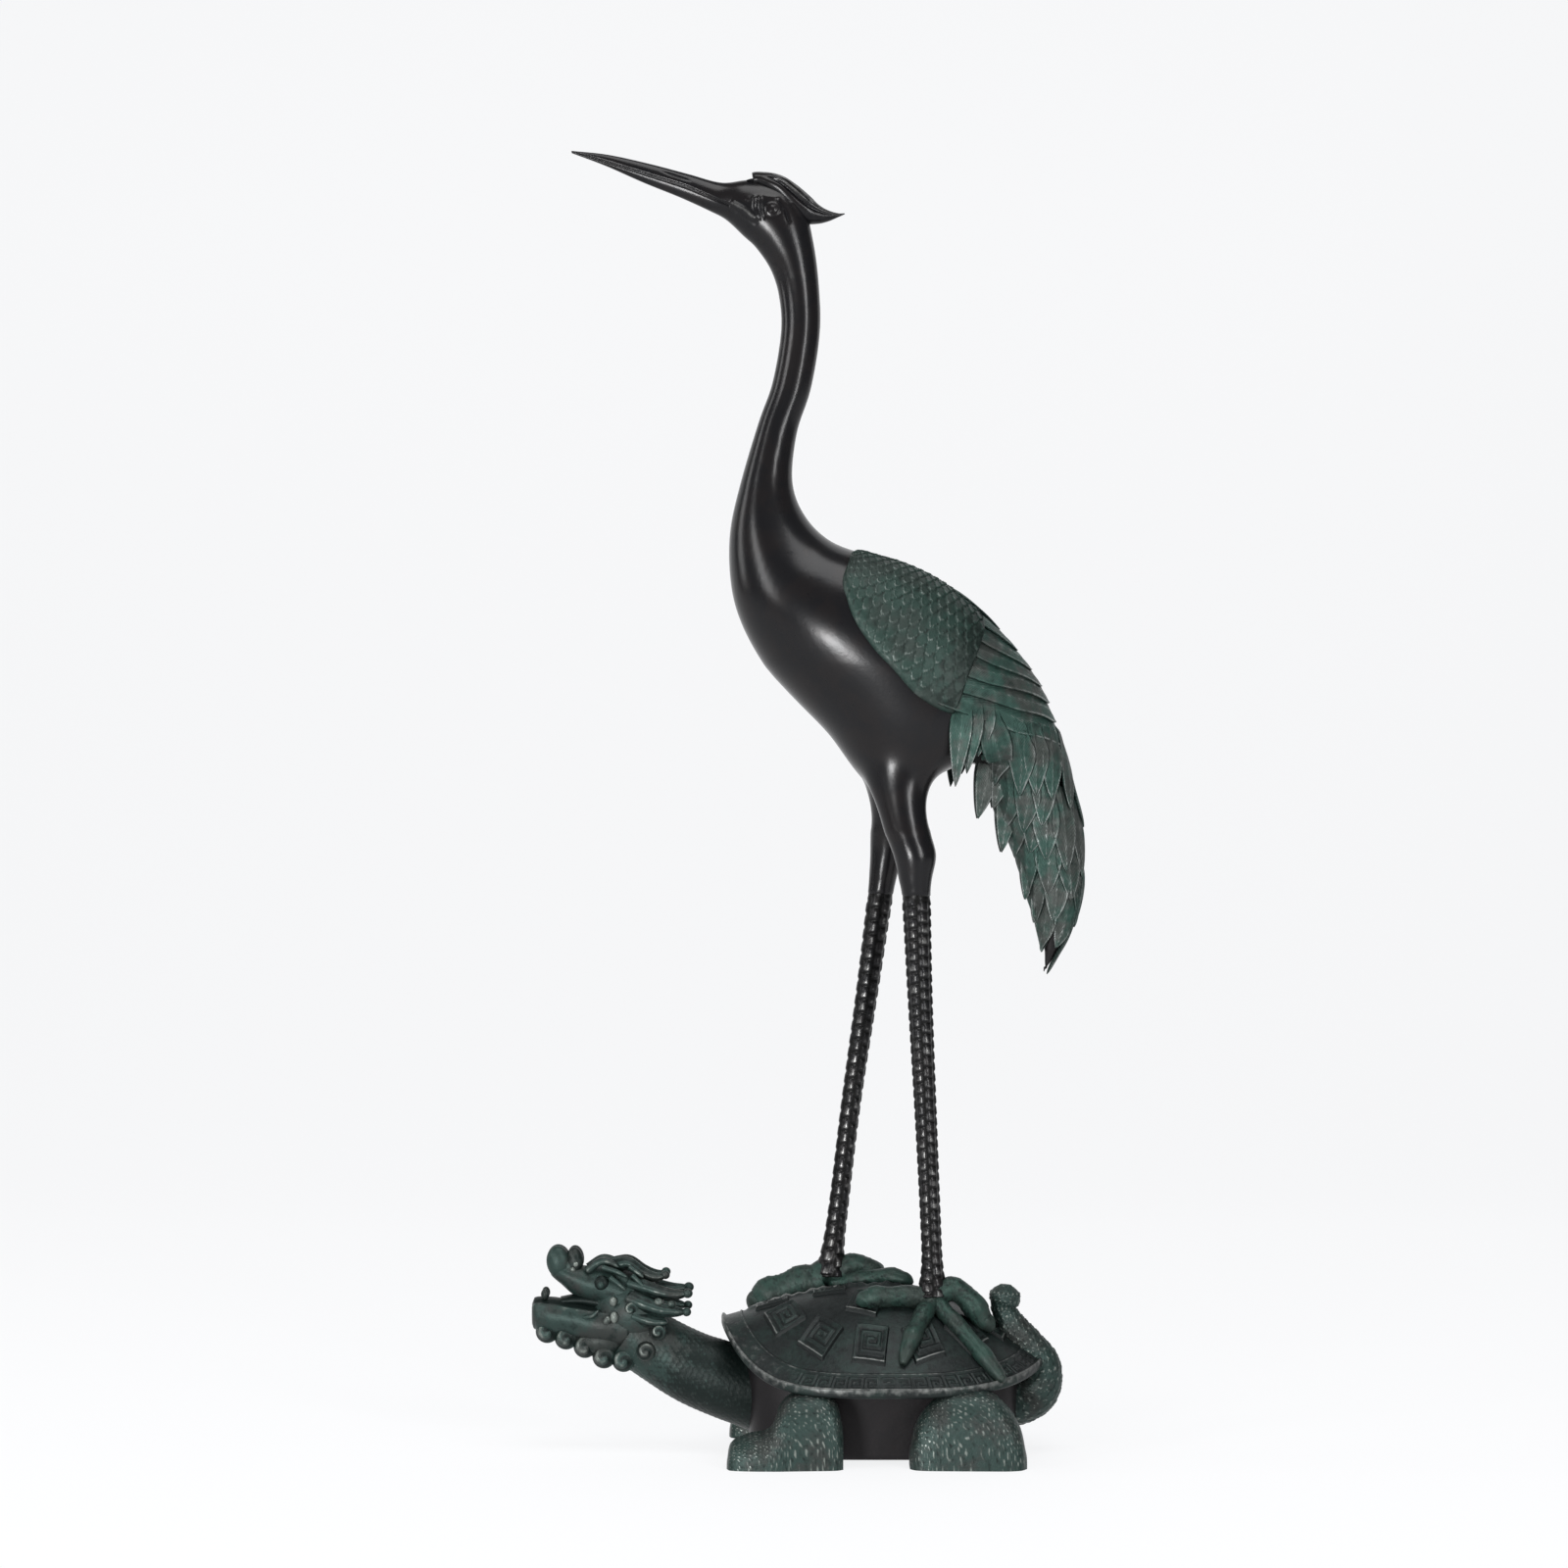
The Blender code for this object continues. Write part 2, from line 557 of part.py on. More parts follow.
def dragon():
    """Neck, head with open mouth, nose, brows, swept mane and curled beard."""
    rows = spline(NECK, np.linspace(0, len(NECK) - 1, 7))
    along = unit(np.gradient(rows[:, :3], axis=0))
    side = np.tile([0, -1, 0], (len(rows), 1))
    top = np.cross(along, side) * rows[:, 4:5]
    shells = [loft(ellipses(rows[:, :3], top, side * rows[:, 3:4], 10)), ball(*SKULL, 8, 5), ball(*CHIN)]
    for jaw in (UPPER_JAW, LOWER_JAW):
        rows = np.array(jaw, float)
        shells.append(tube(rows[:, :3], rows[:, 3], 9, flat=0.82))
    sides = [ball(*each) for each in BOSSES]
    for root, middle, tip, radius in LOCKS:
        rows = spline([root, middle, tip], np.linspace(0, 2, 4))
        sides.append(tube(rows, radius * np.array([1, 0.95, 0.65, 0.12]), 5))
    return shells + sides + [mirrored(each) for each in sides]


def feet():
    """Four feet and the shoulders that join them to the belly, in drawn millimetres."""
    foot_y = -FOOT_SHARE * DRAWN_WIDTH / 2
    shoulder_y = -SHOULDER_Y_SHARE * DRAWN_WIDTH / 2
    shells = []
    for stations, x in zip((FORE_FOOT, HIND_FOOT), SHOULDER_AT):
        for each in (paw(stations, foot_y), ball((x, shoulder_y, SHOULDER_Z), SHOULDER_SIZE)):
            shells += [each, mirrored(each)]
    return shells


def tail():
    """Tail that curls up behind the shell to a knob, in drawn millimetres."""
    rows = spline(TAIL, np.linspace(0, len(TAIL) - 1, 13))
    return [tube(rows[:, :3], rows[:, 3], 8, up=(0, 1, 0))]


def crane_figure():
    """Every form of the crane, in drawn millimetres."""
    sides = [wing_cover()]
    sides += [feather_row(*row) for row in FEATHER_ROWS]
    sides += [feather(*each) for each in FREE_FEATHERS]
    shells = [trunk(), crest()] + sides + [mirrored(shell) for shell in sides]
    for stations, toes in ((NEAR_LEG, NEAR_TOES), (FAR_LEG, FAR_TOES)):
        shells.append(leg(stations))
        shells += [toe(stations[-1], *each) for each in toes]
    return shells


def in_metres(shells, scale, lift=0.0):
    return [(points * scale + np.array([0, 0, lift]), faces) for points, faces in shells]


def material(name, colour, roughness, metallic):
    made = bpy.data.materials.new(name)
    made.use_nodes = True
    shader = made.node_tree.nodes["Principled BSDF"]
    shader.inputs["Base Color"].default_value = (*colour, 1)
    shader.inputs["Roughness"].default_value = roughness
    shader.inputs["Metallic"].default_value = metallic
    return made


def solid(name, shape):
    """Mesh object of one closed shell, with its faces outward."""
    points, faces = shape
    if volume(points, faces) < 0:
        faces = [face[::-1] for face in faces]
    mesh = bpy.data.meshes.new(name)
    mesh.from_pydata(points.tolist(), [], faces)
    mesh.validate()
    return bpy.data.objects.new(name, mesh)


def helpers(name, shapes):
    """Collection of closed shells that a Boolean uses, left out of the render."""
    group = bpy.data.collections.new(name)
    bpy.context.scene.collection.children.link(group)
    for k, shape in enumerate(shapes):
        made = solid(f"{name}_{k:02d}", shape)
        made.hide_render = True
        made.display_type = "WIRE"
        group.objects.link(made)
    group.hide_render = True
    return group


def boolean(target, operation, group):
    step = target.modifiers.new(operation.title(), "BOOLEAN")
    step.operation = operation
    step.operand_type = "COLLECTION"
    step.collection = group
    step.solver = "EXACT"


def casting(name, shapes, finish):
    made = solid(name, shapes[0])
    bpy.context.scene.collection.objects.link(made)
    made.data.materials.append(finish)
    boolean(made, "UNION", helpers(f"{name}_forms", shapes[1:]))
    return made


for old in list(bpy.data.objects):
    bpy.data.objects.remove(old, do_unlink=True)

bronze = material("dark_bronze", (0.022, 0.022, 0.025), 0.32, 0.9)
patina = material("green_patina", (0.035, 0.085, 0.07), 0.55, 0.6)
crane = casting("crane", in_metres(crane_figure(), CRANE, SHELL_TOP - DRAWN_SHELL_TOP * CRANE), bronze)
boolean(crane, "DIFFERENCE", helpers("toe_seat", [shell(SEAT_GAP)] + plaques(SEAT_GAP)))
turtle = [shell(), belly()] + plaques() + in_metres(dragon(), TURTLE)
casting("dragon_turtle", turtle + in_metres(feet(), FEET) + in_metres(tail(), HIND), patina)
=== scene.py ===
import math

import bpy
import numpy as np
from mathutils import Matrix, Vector


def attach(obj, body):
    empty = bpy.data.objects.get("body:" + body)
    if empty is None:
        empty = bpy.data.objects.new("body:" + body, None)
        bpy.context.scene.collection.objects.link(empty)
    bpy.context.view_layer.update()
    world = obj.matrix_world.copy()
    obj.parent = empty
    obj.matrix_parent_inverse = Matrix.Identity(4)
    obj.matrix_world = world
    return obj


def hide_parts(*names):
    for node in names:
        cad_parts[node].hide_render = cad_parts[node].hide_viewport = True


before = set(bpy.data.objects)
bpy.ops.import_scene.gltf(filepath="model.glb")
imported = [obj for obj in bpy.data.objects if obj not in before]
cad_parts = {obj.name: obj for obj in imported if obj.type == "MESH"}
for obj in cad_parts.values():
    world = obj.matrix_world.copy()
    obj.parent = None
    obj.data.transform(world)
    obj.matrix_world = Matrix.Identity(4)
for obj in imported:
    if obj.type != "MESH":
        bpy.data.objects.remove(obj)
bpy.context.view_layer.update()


# The floor and the wall behind it are one sweep of white paper that curves up out of sight. It is lit from behind
# too, as in a studio, so that it stays pale and the bronze keeps its dark tone.
PAPER_FLAT, PAPER_BEND, PAPER_FRONT, PAPER_LONG, PAPER_HALF, PAPER_STEPS = 4.5, 1.4, 2.6, 11, 6, 88


def sweep_profile(s):
    """Distance back and height of the sweep: flat, then a quarter circle, then straight up."""
    turn = np.clip((s - PAPER_FLAT) / PAPER_BEND, 0, math.pi / 2)
    rise = np.maximum(0, s - PAPER_FLAT - PAPER_BEND * math.pi / 2)
    back = np.minimum(s, PAPER_FLAT) - PAPER_FRONT + PAPER_BEND * np.sin(turn)
    return back, PAPER_BEND * (1 - np.cos(turn)) + rise


paper_back, paper_up = sweep_profile(np.linspace(0, PAPER_LONG, PAPER_STEPS + 1))
paper_points = [(x, back, up) for back, up in zip(paper_back, paper_up) for x in (-PAPER_HALF, 0, PAPER_HALF)]
paper_faces = [
    (3 * i + j, 3 * i + j + 1, 3 * i + j + 4, 3 * i + j + 3) for i in range(PAPER_STEPS) for j in range(2)
]
paper_mesh = bpy.data.meshes.new("paper_sweep")
paper_mesh.from_pydata(paper_points, [], paper_faces)
paper_mesh.polygons.foreach_set("use_smooth", [True] * len(paper_faces))
paper = bpy.data.objects.new("paper_sweep", paper_mesh)
bpy.context.scene.collection.objects.link(paper)
paper_finish = bpy.data.materials.new("paper")
paper_finish.use_nodes = True
paper_shader = paper_finish.node_tree.nodes["Principled BSDF"]
for label, value in (
    ("Base Color", (0.12, 0.12, 0.122, 1)),
    ("Roughness", 0.9),
    ("Specular IOR Level", 0.1),
    ("Emission Color", (0.985, 0.99, 1.0, 1)),
    ("Emission Strength", 0.84),
):
    paper_shader.inputs[label].default_value = value
paper_mesh.materials.append(paper_finish)

world = bpy.data.worlds.new("studio")
world.use_nodes = True
air = world.node_tree.nodes["Background"]
air.inputs["Color"].default_value = (0.96, 0.98, 1.0, 1)
air.inputs["Strength"].default_value = 0.12
bpy.context.scene.world = world
bpy.context.scene.view_settings.view_transform = "Standard"


def softbox(name, stand, aim, width, height, power):
    """Area light at a place, turned to face a point."""
    light = bpy.data.lights.new(name, "AREA")
    light.shape = "RECTANGLE"
    light.size, light.size_y, light.energy = width, height, power
    lamp = bpy.data.objects.new(name, light)
    bpy.context.scene.collection.objects.link(lamp)
    lamp.location = stand
    lamp.rotation_euler = (Vector(aim) - Vector(stand)).to_track_quat("-Z", "Y").to_euler()


softbox("window_left", (-0.98, -2.35, 0.24), (-0.05, 0, 0.66), 0.44, 0.30, 40)
softbox("fill_left", (-2.2, -1.7, 1.35), (-0.05, 0, 0.8), 0.5, 1.2, 24)
softbox("strip_right", (1.25, -2.05, 1.0), (-0.05, 0, 0.85), 0.42, 1.2, 32)
softbox("top", (0.2, -0.9, 3.0), (0, 0, 0.4), 1.8, 1.6, 48)
softbox("low_left", (-2.4, 0.2, 1.4), (0, 0, 0.4), 0.5, 1.6, 14)

# The camera stands level at half the statue's height, 3.6 m away, as the photograph's did.
CAMERA_AWAY, CAMERA_SIDE, CAMERA_UP, PHOTO_MM = 3600.0, -80.0, 543.7, 0.8
lens = bpy.data.cameras.new("camera")
lens.lens, lens.sensor_width = 101.25, 36
camera = bpy.data.objects.new("camera", lens)
camera.location = (CAMERA_SIDE / 1000, -CAMERA_AWAY / 1000, CAMERA_UP / 1000)
camera.rotation_euler = (math.pi / 2, 0, 0)
bpy.context.scene.collection.objects.link(camera)
bpy.context.scene.camera = camera


# Crane's body: bill, head, neck, breast and the core of the tail. Hollow-cast bronze, chased smooth and waxed over
# a near-black patina. Its figures are millimetres of back x, back z, front x, front z and half width.
BODY = np.array(
    [
        (-253.6, 1060.6, -253.2, 1058.6, 1.0), (-224, 1057.4, -225.6, 1048.2, 3.2), (-190, 1050, -194.4, 1034.4, 5.0),
        (-158, 1041.6, -165.2, 1022.6, 6.8), (-131, 1034.6, -140.6, 1011.4, 9.6), (-108, 1036.6, -127, 1004, 14.6),
        (-82, 1033, -113, 991, 18.4), (-64.5, 1017, -102.5, 981, 18.4), (-56, 986, -90.6, 963, 17),
        (-51.2, 948, -84, 940.8, 15.6), (-50.8, 910, -82.6, 912, 15), (-58, 866, -89.6, 871, 15.4),
        (-69.4, 830, -100.8, 839, 16.4), (-73, 790, -115.6, 789, 22.5), (-62.5, 762, -124.2, 748, 31),
        (-42, 742, -123.2, 706, 41), (-13, 731, -114, 673, 50), (19, 722, -94.6, 638.4, 57),
        (51, 706, -71, 610.4, 60), (82, 680.5, -44, 583.2, 60), (109, 651, -20, 550, 56),
        (128.5, 622, 8, 538, 50), (139.5, 594, 46, 552, 43), (146, 570, 76, 563, 35),
        (152.5, 540, 88, 547, 28), (159.5, 508, 98, 517, 23), (161.5, 478, 112, 486, 18),
        (158.5, 448, 123, 452, 13), (151, 422, 130, 425, 8.5), (141, 404, 132.5, 405, 4.5),
        (132.4, 389, 131.2, 389, 1.0),
    ]
)


def spline(rows, at):
    """Rows of numbers joined by a smooth curve through every row, read at fractional row numbers."""
    rows = np.asarray(rows, float)
    at = np.clip(np.asarray(at, float), 0, len(rows) - 1)
    low = np.minimum(at.astype(int), len(rows) - 2)
    s = (at - low)[..., None]
    padded = np.vstack([2 * rows[0] - rows[1], rows, 2 * rows[-1] - rows[-2]])
    p0, p1, p2, p3 = (padded[low + k] for k in range(4))
    return p1 + 0.5 * s * (p2 - p0 + s * (2 * p0 - 5 * p1 + 4 * p2 - p3 + s * (3 * (p1 - p2) + p3 - p0)))


def through(rows, count):
    """Rows of numbers at even steps along the smooth curve through them."""
    return spline(rows, np.linspace(0, len(rows) - 1, count))


def unit(vectors):
    """The same ways, each of length 1."""
    return vectors / np.maximum(np.linalg.norm(vectors, axis=-1, keepdims=True), 1e-9)


def bell(x, middle, width):
    """1 at the middle, falling off to 0 on both sides over the width."""
    return np.exp(-(((x - middle) / width) ** 2))


def ramp(x, start, length):
    """0 up to the start, then a straight rise to 1 over the length."""
    return np.clip((x - start) / length, 0, 1)


def ring_turns(count):
    """Even turns round a ring, in radians."""
    return np.arange(count) * 2 * math.pi / count


def body_point(station, degrees, lift=0.0):
    """Points of the body and the way out of it. Each station is an ellipse between a back and a front point;
    degrees run round it from the back over the near side to the front."""
    station, degrees = np.broadcast_arrays(np.asarray(station, float), np.asarray(degrees, float))

    def skin(s, a):
        row = spline(BODY, s)
        middle, reach = (row[..., :2] + row[..., 2:4]) / 2, (row[..., :2] - row[..., 2:4]) / 2
        turn = np.radians(a)[..., None]
        plane = middle + reach * np.cos(turn)
        return np.concatenate([plane[..., :1], -row[..., 4:5] * np.sin(turn), plane[..., 1:]], axis=-1)

    here = skin(station, degrees)
    along = skin(station + 0.04, degrees) - skin(station - 0.04, degrees)
    around = skin(station, degrees + 2) - skin(station, degrees - 2)
    out = unit(np.cross(along, around))
    inside = (skin(station, degrees * 0) + skin(station, degrees * 0 + 180)) / 2
    out = out * np.sign(np.sum(out * (here - inside), axis=-1, keepdims=True))
    return here + out * np.asarray(lift, float)[..., None], out


def make_piece(name, skins, finish, slot, node):
    """One mesh from closed skins. A skin is n rings of m points joined round and along, with a centre point closing
    each end, then how raised each point is, from 0 to 1, and where it lies along and across."""
    points, quads, fans, raised, places = [], [], [], [], []
    first = 0
    for rings, relief, lie in skins:
        n, m = rings.shape[:2]
        index = first + np.arange(n * m).reshape(n, m)
        after = np.roll(index, -1, axis=1)
        quad = np.stack([index[:-1], after[:-1], after[1:], index[1:]], -1).reshape(-1, 4)
        a, z = first + n * m, first + n * m + 1
        fan = np.concatenate(
            [
                np.stack([np.full(m, a), after[0], index[0]], -1),
                np.stack([np.full(m, z), index[-1], after[-1]], -1),
            ]
        )
        co = np.concatenate([rings.reshape(-1, 3), rings[0].mean(0)[None], rings[-1].mean(0)[None]])
        p = co[quad - first]
        size = np.sum(p[:, 0] * np.cross(p[:, 1], p[:, 2]) + p[:, 0] * np.cross(p[:, 2], p[:, 3]))
        f = co[fan - first]
        size += np.sum(f[:, 0] * np.cross(f[:, 1], f[:, 2]))
        if size < 0:
            quad, fan = quad[:, ::-1], fan[:, ::-1]
        points.append(co)
        quads.append(quad)
        fans.append(fan)
        raised.append(np.concatenate([relief.ravel(), [relief[0].mean(), relief[-1].mean()]]))
        places.append(np.concatenate([lie.reshape(-1, 2), lie[0, :1], lie[-1, :1]]))
        first += n * m + 2
    points, quads, fans = np.concatenate(points), np.concatenate(quads), np.concatenate(fans)
    corners = np.concatenate([quads.ravel(), fans.ravel()]).astype(np.int32)
    totals = np.concatenate([np.full(len(quads), 4), np.full(len(fans), 3)]).astype(np.int32)
    starts = np.concatenate([[0], np.cumsum(totals)[:-1]]).astype(np.int32)
    mesh = bpy.data.meshes.new(name)
    mesh.vertices.add(len(points))
    mesh.vertices.foreach_set("co", (points * 0.001).astype(np.float32).ravel())
    mesh.loops.add(len(corners))
    mesh.loops.foreach_set("vertex_index", corners)
    mesh.polygons.add(len(totals))
    mesh.polygons.foreach_set("loop_start", starts)
    mesh.polygons.foreach_set("loop_total", totals)
    mesh.polygons.foreach_set("use_smooth", np.ones(len(totals), bool))
    mesh.update(calc_edges=True)
    layer = mesh.attributes.new("relief", "FLOAT", "POINT")
    layer.data.foreach_set("value", np.concatenate(raised).astype(np.float32))
    sheet = mesh.uv_layers.new(name="lie")
    sheet.data.foreach_set("uv", np.concatenate(places)[corners].astype(np.float32).ravel())
    mesh.materials.append(finish)
    piece = bpy.data.objects.new(name, mesh)
    bpy.context.scene.collection.objects.link(piece)
    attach(piece, "root")
    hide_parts(node)
    return piece


def plain(rings, relief=0.5):
    """A skin of these rings that lies nowhere on a vane, its relief one number or one for each point."""
    return rings, np.full(rings.shape[:2], relief), np.zeros((*rings.shape[:2], 2))


def mirrored(skins):
    """The same skins on the far side, and the near ones."""
    return skins + [(rings * np.array([1, -1, 1]), relief, lie) for rings, relief, lie in skins]


# Patina shared by both castings: a colour in the hollows, one on the flats and one where the metal is rubbed, each
# mottled, and fine pits left by the casting.
def new_group(name, inputs, outputs):
    """An empty shader group with these sockets."""
    group = bpy.data.node_groups.new(name, "ShaderNodeTree")
    for label, kind, value in inputs:
        socket = group.interface.new_socket(label, in_out="INPUT", socket_type=kind)
        socket.default_value = value
    for label, kind in outputs:
        group.interface.new_socket(label, in_out="OUTPUT", socket_type=kind)
    return group, group.nodes.new("NodeGroupInput"), group.nodes.new("NodeGroupOutput")


def feed(group, socket, value):
    """Sets a socket to a number or colour, or links another node's output to it."""
    if isinstance(value, (int, float, tuple)):
        socket.default_value = value
    else:
        group.links.new(value, socket)


def math_node(group, operation, *values):
    """The result of one sum."""
    node = group.nodes.new("ShaderNodeMath")
    node.operation = operation
    for socket, value in zip(node.inputs, values):
        feed(group, socket, value)
    return node.outputs[0]


def noise_node(group, vector, scale, detail, roughness=0.6):
    """Cloudy values about 0.5, so many to a metre."""
    node = group.nodes.new("ShaderNodeTexNoise")
    node.inputs["Scale"].default_value = scale
    node.inputs["Detail"].default_value = detail
    node.inputs["Roughness"].default_value = roughness
    group.links.new(vector, node.inputs["Vector"])
    return node.outputs["Fac"]


def rise_node(group, value, low, high):
    """0 at the low value, easing to 1 at the high one."""
    node = group.nodes.new("ShaderNodeMapRange")
    node.interpolation_type = "SMOOTHSTEP"
    node.inputs["From Min"].default_value, node.inputs["From Max"].default_value = low, high
    group.links.new(value, node.inputs["Value"])
    return node.outputs["Result"]


def blend_node(group, factor, a, b):
    """Colour a where the factor is 0 and b where it is 1."""
    node = group.nodes.new("ShaderNodeMix")
    node.data_type = "RGBA"
    for name, value in (("Factor_Float", factor), ("A_Color", a), ("B_Color", b)):
        feed(group, next(s for s in node.inputs if s.identifier == name), value)
    return next(s for s in node.outputs if s.identifier == "Result_Color")


COLOUR, NUMBER, WAY = "NodeSocketColor", "NodeSocketFloat", "NodeSocketVector"
patina, given, made = new_group(
    "bronze_patina",
    [
        ("Place", WAY, (0, 0, 0)),
        ("Relief", NUMBER, 0.5),
        ("Hollow", COLOUR, (0.01, 0.02, 0.018, 1)),
        ("Flat", COLOUR, (0.03, 0.08, 0.06, 1)),
        ("Second", COLOUR, (0.03, 0.03, 0.03, 1)),
        ("Rubbed", COLOUR, (0.2, 0.2, 0.18, 1)),
        ("Rub from", NUMBER, 0.7),
        ("Mottle", NUMBER, 0.5),
    ],
    [("Color", COLOUR), ("Rub", NUMBER), ("Hollowness", NUMBER), ("Height", NUMBER)],
)
cloud = noise_node(patina, given.outputs["Place"], 38, 4)
grit = noise_node(patina, given.outputs["Place"], 420, 3, 0.7)
speck = noise_node(patina, given.outputs["Place"], 160, 2)
grain = math_node(patina, "SUBTRACT", speck, 0.5)
uneven = math_node(patina, "MULTIPLY_ADD", grain, 0.7, given.outputs["Relief"])
patchy = math_node(patina, "MULTIPLY", rise_node(patina, cloud, 0.42, 0.62), given.outputs["Mottle"])
ground = blend_node(patina, patchy, given.outputs["Flat"], given.outputs["Second"])
hollow = rise_node(patina, uneven, 0.42, 0.12)
cut = blend_node(patina, hollow, ground, given.outputs["Hollow"])
over = math_node(patina, "SUBTRACT", uneven, given.outputs["Rub from"])
rub = rise_node(patina, over, -0.08, 0.3)
wear_and_shade = blend_node(patina, rub, cut, given.outputs["Rubbed"])
pits = math_node(patina, "ADD", grit, math_node(patina, "MULTIPLY", speck, 0.8))
for label, value in (("Color", wear_and_shade), ("Rub", rub), ("Hollowness", hollow), ("Height", pits)):
    patina.links.new(value, made.inputs[label])


BARB_PITCH, BARB_SLOPE = 0.13, -0.28  # centimetres from barb to barb, and how fast a barb runs down the vane
WAX_SHINE = 0.24


def bronze(name, hollow, flat, second, rubbed, rub_from, mottle, rough, rough_rub, pit, metal, barbs=0.0):
    """Material of a patinated casting; barbs adds the V of a feather's vane, read from where a point lies on it."""
    finish = bpy.data.materials.new(name)
    finish.use_nodes = True
    tree = finish.node_tree
    shader = tree.nodes["Principled BSDF"]
    coords = tree.nodes.new("ShaderNodeTexCoord")
    relief = tree.nodes.new("ShaderNodeAttribute")
    relief.attribute_name = "relief"
    group = tree.nodes.new("ShaderNodeGroup")
    group.node_tree = patina
    for label, value in (("Hollow", hollow), ("Flat", flat), ("Second", second), ("Rubbed", rubbed)):
        group.inputs[label].default_value = (*value, 1)
    group.inputs["Rub from"].default_value = rub_from
    group.inputs["Mottle"].default_value = mottle
    tree.links.new(coords.outputs["Object"], group.inputs["Place"])
    tree.links.new(relief.outputs["Fac"], group.inputs["Relief"])
    tree.links.new(group.outputs["Color"], shader.inputs["Base Color"])
    level = tree.nodes.new("ShaderNodeMapRange")
    level.inputs["To Min"].default_value, level.inputs["To Max"].default_value = rough, rough_rub
    tree.links.new(group.outputs["Rub"], level.inputs["Value"])
    tree.links.new(level.outputs["Result"], shader.inputs["Roughness"])
    shader.inputs["Metallic"].default_value = metal
    shader.inputs["Specular IOR Level"].default_value = WAX_SHINE
    height = group.outputs["Height"]
    if barbs:
        lie = tree.nodes.new("ShaderNodeSeparateXYZ")
        tree.links.new(coords.outputs["UV"], lie.inputs[0])
        wander = math_node(tree, "MULTIPLY", noise_node(tree, coords.outputs["Object"], 60, 3), 0.12)
        slant = math_node(tree, "ADD", math_node(tree, "ABSOLUTE", lie.outputs["Y"]), wander)
        run = math_node(tree, "ADD", slant, math_node(tree, "MULTIPLY", lie.outputs["X"], BARB_SLOPE))
        comb = math_node(tree, "SINE", math_node(tree, "MULTIPLY", run, 2 * math.pi / BARB_PITCH))
        height = math_node(tree, "ADD", height, math_node(tree, "MULTIPLY", comb, barbs))
        streak = math_node(tree, "ADD", relief.outputs["Fac"], math_node(tree, "MULTIPLY", comb, 0.09))
        tree.links.new(streak, group.inputs["Relief"])
    bump = tree.nodes.new("ShaderNodeBump")
    bump.inputs["Strength"].default_value = pit
    bump.inputs["Distance"].default_value = 0.001
    tree.links.new(height, bump.inputs["Height"])
    tree.links.new(bump.outputs["Normal"], shader.inputs["Normal"])
    return finish


black_bronze = bronze(
    "black_bronze", (0.003, 0.003, 0.004), (0.007, 0.007, 0.008), (0.011, 0.009, 0.009), (0.10, 0.10, 0.098),
    0.80, 0.5, 0.235, 0.26, 0.05, 0.15,
)
covert_bronze = bronze(
    "covert_bronze", (0.006, 0.012, 0.010), (0.015, 0.033, 0.027), (0.024, 0.027, 0.025), (0.085, 0.105, 0.097),
    0.72, 0.5, 0.46, 0.34, 0.22, 0.3,
)
wing_bronze = bronze(
    "wing_bronze", (0.007, 0.015, 0.013), (0.024, 0.056, 0.046), (0.050, 0.048, 0.046), (0.20, 0.215, 0.21),
    0.58, 0.75, 0.44, 0.28, 0.25, 0.45, barbs=0.9,
)
scale_bronze = bronze(
    "scale_bronze", (0.007, 0.012, 0.011), (0.019, 0.042, 0.034), (0.026, 0.028, 0.026), (0.12, 0.14, 0.13),
    0.70, 0.6, 0.46, 0.34, 0.30, 0.3,
)
leg_bronze = bronze(
    "leg_bronze", (0.004, 0.004, 0.004), (0.011, 0.011, 0.012), (0.018, 0.016, 0.016), (0.20, 0.20, 0.195),
    0.66, 0.5, 0.34, 0.24, 0.10, 0.5,
)

# The head and the trunk are two skins. Each dives under the other at the neck, over less than one station.
BILL_ROOT, HEAD_DIVES, HEAD_ENDS, TRUNK_STARTS, TRUNK_SHOWS, DIVE = 3.5, 8.4, 9.2, 7.8, 8.6, 2
head_stations = np.concatenate(
    [
        np.linspace(0, BILL_ROOT, 36)[:-1],
        np.linspace(BILL_ROOT, HEAD_DIVES, 112)[:-1],
        np.linspace(HEAD_DIVES, HEAD_ENDS, 14),
    ]
)
station, degrees = np.meshgrid(head_stations, np.linspace(0, 360, 121)[:-1], indexing="ij")
head, out = body_point(station, degrees, -DIVE * np.maximum(0, station - HEAD_DIVES) ** 2)


def ridge(points, path, width):
    """1 on a line drawn on the side of the head, in x and z, falling off to 0 over its width."""
    path = np.asarray(path, float)
    a, b = path[:-1], path[1:]
    p = points[..., None, :]
    run = np.clip(np.sum((p - a) * (b - a), -1) / np.sum((b - a) ** 2, -1), 0, 1)
    gap = np.linalg.norm(p - (a + (b - a) * run[..., None]), axis=-1).min(-1)
    return bell(gap, 0, width)


